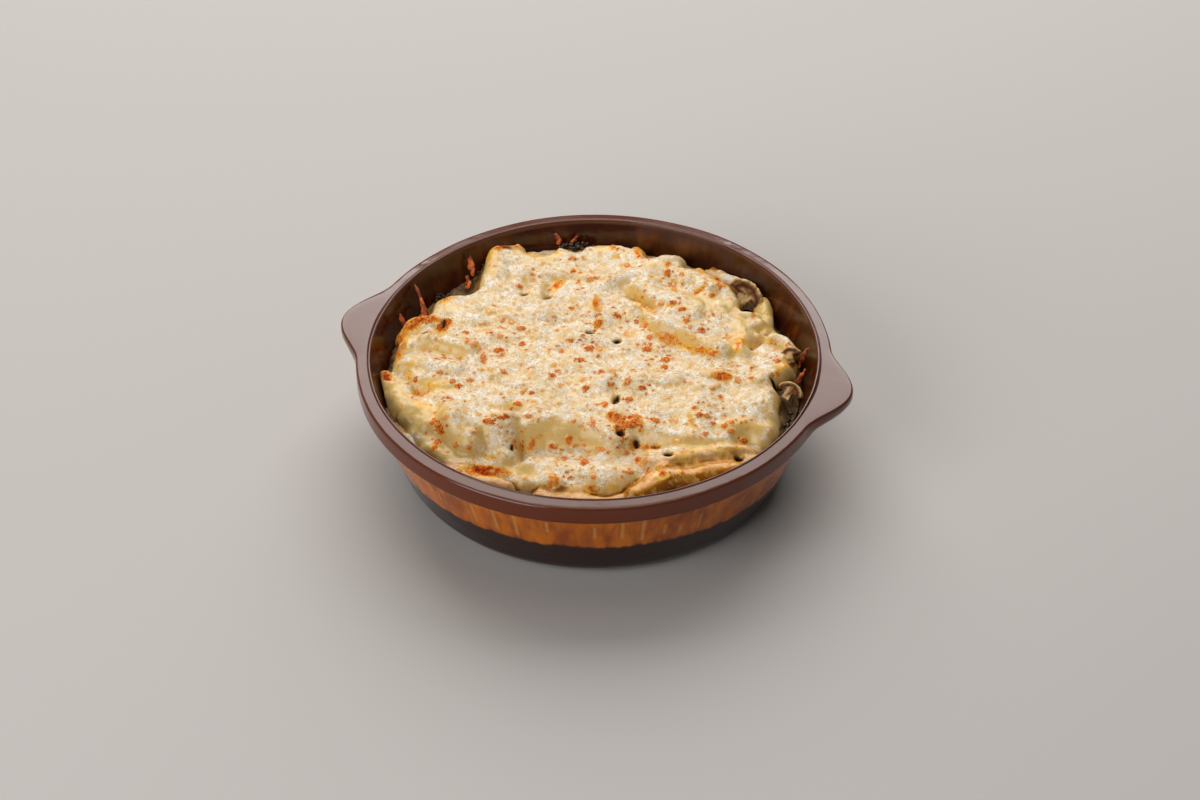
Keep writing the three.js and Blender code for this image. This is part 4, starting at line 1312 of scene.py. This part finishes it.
def mushroomFlesh():
    material, tree, shader = newMaterial("mushroomFlesh")
    place = inMillimetres(tree)
    grain = useGroup(tree, grainGroup, {"Place": place, "Size": 0.9})
    slow = noiseOf(place, 4.0, 3.0, 0.5)
    tint = mix(steps(slow, 0.35, 0.65), mushroom["fleshDeep"], mushroom["flesh"])
    gills = attribute(tree, "gills") * steps(grain["Height"], 0.4, 0.65, 0.75, 1.0)
    tint = mix(gills, tint, mushroom["gills"])
    tint = mix(attribute(tree, "skin") * 0.9, tint, mushroom["skin"])
    coated = steps(noiseOf(place, 7.0, 3.0, 0.8), 0.56, 0.66)
    tint = mix(coated * 0.4, tint, mushroom["sauce"])
    feed(shader, baseColor=tint, roughness=0.5, normal=bumpOf(grain["Height"], 0.4, 0.4), ior=1.34, gloss=0.2,
         soft=0.15, softReach=(1.0, 0.6, 0.3), softScale=1.5 * mm)
    return material


print("mushrooms")
flesh = mushroomFlesh()
for sizes in mushrooms:
    buildMushroom(*sizes, flesh)


# Browned shreds of cheese that stand against the wall
shred = {"deep": (110, 34, 2), "light": (206, 100, 24), "tip": (110, 34, 10)}

# Foot, tip, width and thickness.
shreds = [
    ((-95, 20, 47), (-102.5, 36, 60), 2.8, 1.5),
    ((-98, 8, 47), (-105, 13, 58), 2.8, 1.6),
    ((-79, 62, 50), (-84, 68, 58), 4.2, 2.0),
    ((-80, 55, 46), (-84, 60, 51), 3.6, 2.2),
    ((-94, 27, 46), (-98, 30, 51), 3.0, 1.8),
    ((98, 28, 48), (103, 33, 58), 2.6, 1.4),
    ((101, 16, 48), (104, 21, 55), 2.4, 1.4),
    ((-42, 95, 53), (-46, 98, 57.5), 3.6, 2.0),
    ((-38, 97, 53), (-33, 100, 56), 2.6, 1.6),
]


def buildShreds():
    bm = bmesh.new()
    for number, (foot, tip, width, thickness) in enumerate(shreds):
        foot, tip = Vector(foot), Vector(tip)
        length = (tip - foot).length
        part = bmesh.new()
        bmesh.ops.create_cube(part, size=1)
        bmesh.ops.subdivide_edges(part, edges=part.edges[:], cuts=9, use_grid_fill=True)
        points = np.array([vert.co for vert in part.verts])
        share = points[:, 2] + 0.5
        narrow = (0.9 + 0.25 * np.sin(7 * share + 2 * number)) * (1 - 0.3 * share)
        narrow *= np.sqrt(np.clip(1 - (2 * share - 1) ** 6, 0.02, 1))
        corner = np.maximum(np.hypot(points[:, 0], points[:, 1]), 0.001) * 2
        square = np.maximum(np.abs(points[:, 0]), np.abs(points[:, 1])) * 2
        roundness = square / corner
        points[:, 0] *= width * narrow * roundness
        points[:, 1] *= thickness * narrow * roundness
        points[:, 2] *= length
        points[:, 0] += 0.06 * length * np.sin(share * 4 + 1.7 * number)
        placed = laidAlong(points, foot, tip)
        for axis in range(3):
            placed[:, axis] += 0.8 * noiseAt(placed, 2.2, 2, number + axis)
        writePoints(part.verts, placed)
        writeLayer(part, "tipward", share)
        addTo(bm, part)
    bmesh.ops.recalc_face_normals(bm, faces=bm.faces)
    keepPiece(meshOf(bm, "brownedShreds"), brownedCheese())


def brownedCheese():
    material, tree, shader = newMaterial("brownedCheese")
    place = inMillimetres(tree)
    grain = useGroup(tree, grainGroup, {"Place": place, "Size": 0.8})
    slow = noiseOf(place, 3.0, 3.0, 0.6)
    tint = mix(steps(slow, 0.35, 0.65), shred["deep"], shred["light"])
    tint = mix(steps(attribute(tree, "tipward"), 0.5, 1.0, 0.0, 0.5), tint, shred["tip"])
    feed(shader, baseColor=tint, roughness=0.35, normal=bumpOf(grain["Height"], 0.5, 0.4), ior=1.45,
         soft=0.15, softReach=(1.0, 0.5, 0.2), softScale=1.5 * mm)
    return material


print("shreds")
buildShreds()


# Sauce that boiled over and burnt in small bubbles
burntTints = {"deep": (26, 20, 14), "light": (78, 56, 30)}

# Middle, spread and number of each cluster.
burnt = [
    ((-31, 95, 53), (9, 3, 1.5), 60),
    ((-74, 68, 48), (6, 5, 1.5), 40),
    ((-92, 44, 46), (4, 6, 1.2), 30),
    ((70, 84, 48), (9, 5, 1.2), 30),
    ((103, -12, 46), (2.5, 12, 1.5), 30),
    ((96, -42, 44), (5, 8, 1.2), 30),
]


def buildBurntSauce():
    bm = bmesh.new()
    for middle, spread, count in burnt:
        for _ in range(count):
            place = [random.gauss(m, 0.5 * s) for m, s in zip(middle, spread)]
            size = random.uniform(0.4, 1.2)
            reach = math.hypot(place[0], place[1])
            limit = cavityRadius(place[2]) - size * 0.6
            if reach > limit:
                place[0] *= limit / reach
                place[1] *= limit / reach
            move = Matrix.Translation(Vector(place) * mm)
            bmesh.ops.create_icosphere(bm, subdivisions=2, radius=size * mm, matrix=move)
    material, tree, shader = newMaterial("burntSauce")
    slow = noiseOf(inMillimetres(tree), 4.0, 3.0, 0.5)
    tint = mix(steps(slow, 0.35, 0.7), burntTints["deep"], burntTints["light"])
    feed(shader, baseColor=tint, roughness=0.3, ior=1.4)
    keepPiece(meshOf(bm, "burntSauce"), material)


print("burnt sauce")
buildBurntSauce()


# Floor, light and camera
stage = {
    "floorSize": 3.0,  # metres
    "floorColour": (178, 174, 170),
    "world": 0.1,
    "backLight": 4.15,  # brightness of each light's face
    "topLight": 1.5,
    "fillLight": 4.5,
    "cameraDistance": 1.750,
    "cameraAzimuth": 14.24,  # degrees
    "cameraElevation": 38.35,
    "cameraRoll": -0.33,
    "lens": 105,
    "lookAt": (0.0121, -0.0361),
}


def buildStage():
    bm = bmesh.new()
    bmesh.ops.create_grid(bm, x_segments=2, y_segments=2, size=stage["floorSize"])
    floor = addObject("floor", meshOf(bm, "floor"))
    material, _, shader = newMaterial("floorPaint")
    feed(shader, baseColor=colour(*stage["floorColour"]), roughness=0.9, gloss=0.1)
    floor.data.materials.append(material)
    world = bpy.data.worlds.new("studio")
    world.use_nodes = True
    world.node_tree.nodes["Background"].inputs["Color"].default_value = (1.0, 0.98, 0.96, 1)
    world.node_tree.nodes["Background"].inputs["Strength"].default_value = stage["world"]
    bpy.context.scene.world = world


def directionTo(azimuth, elevation):
    a, e = math.radians(azimuth), math.radians(elevation)
    return Vector((math.sin(a) * math.cos(e), -math.cos(a) * math.cos(e), math.sin(e)))


def addLight(name, azimuth, elevation, distance, size, brightness, tint=(1, 1, 1)):
    light = bpy.data.lights.new(name, "AREA")
    light.shape = "RECTANGLE"
    light.size, light.size_y = size
    light.energy = brightness * math.pi * size[0] * size[1]
    light.color = tint
    lamp = addObject(name, light)
    back = directionTo(azimuth, elevation)
    lamp.location = back * distance + Vector((0, 0, 0.05))
    lamp.rotation_mode = "QUATERNION"
    lamp.rotation_quaternion = back.to_track_quat("Z", "Y")


def addCamera():
    camera = addObject("camera", bpy.data.cameras.new("camera"))
    camera.data.lens = stage["lens"]
    camera.data.sensor_width = 36
    back = directionTo(stage["cameraAzimuth"], stage["cameraElevation"])
    camera.location = back * stage["cameraDistance"] + Vector((0, 0, rimHeight * mm))
    target = Vector((*stage["lookAt"], rimHeight * mm))
    camera.rotation_mode = "QUATERNION"
    aim = (target - camera.location).to_track_quat("-Z", "Y")
    camera.rotation_quaternion = aim @ Quaternion((0, 0, 1), math.radians(stage["cameraRoll"]))
    bpy.context.scene.camera = camera


print("stage")
buildStage()
addLight("softboxBack", 195, 44.5, 1.9, (2.2, 1.9), stage["backLight"], (1.0, 0.985, 0.97))
addLight("softboxTop", 180, 85, 1.9, (1.0, 0.8), stage["topLight"], (1.0, 0.985, 0.97))
addLight("fillFront", -30, 30, 1.8, (1.2, 1.2), stage["fillLight"])
addCamera()
bpy.context.scene.view_settings.view_transform = "Standard"
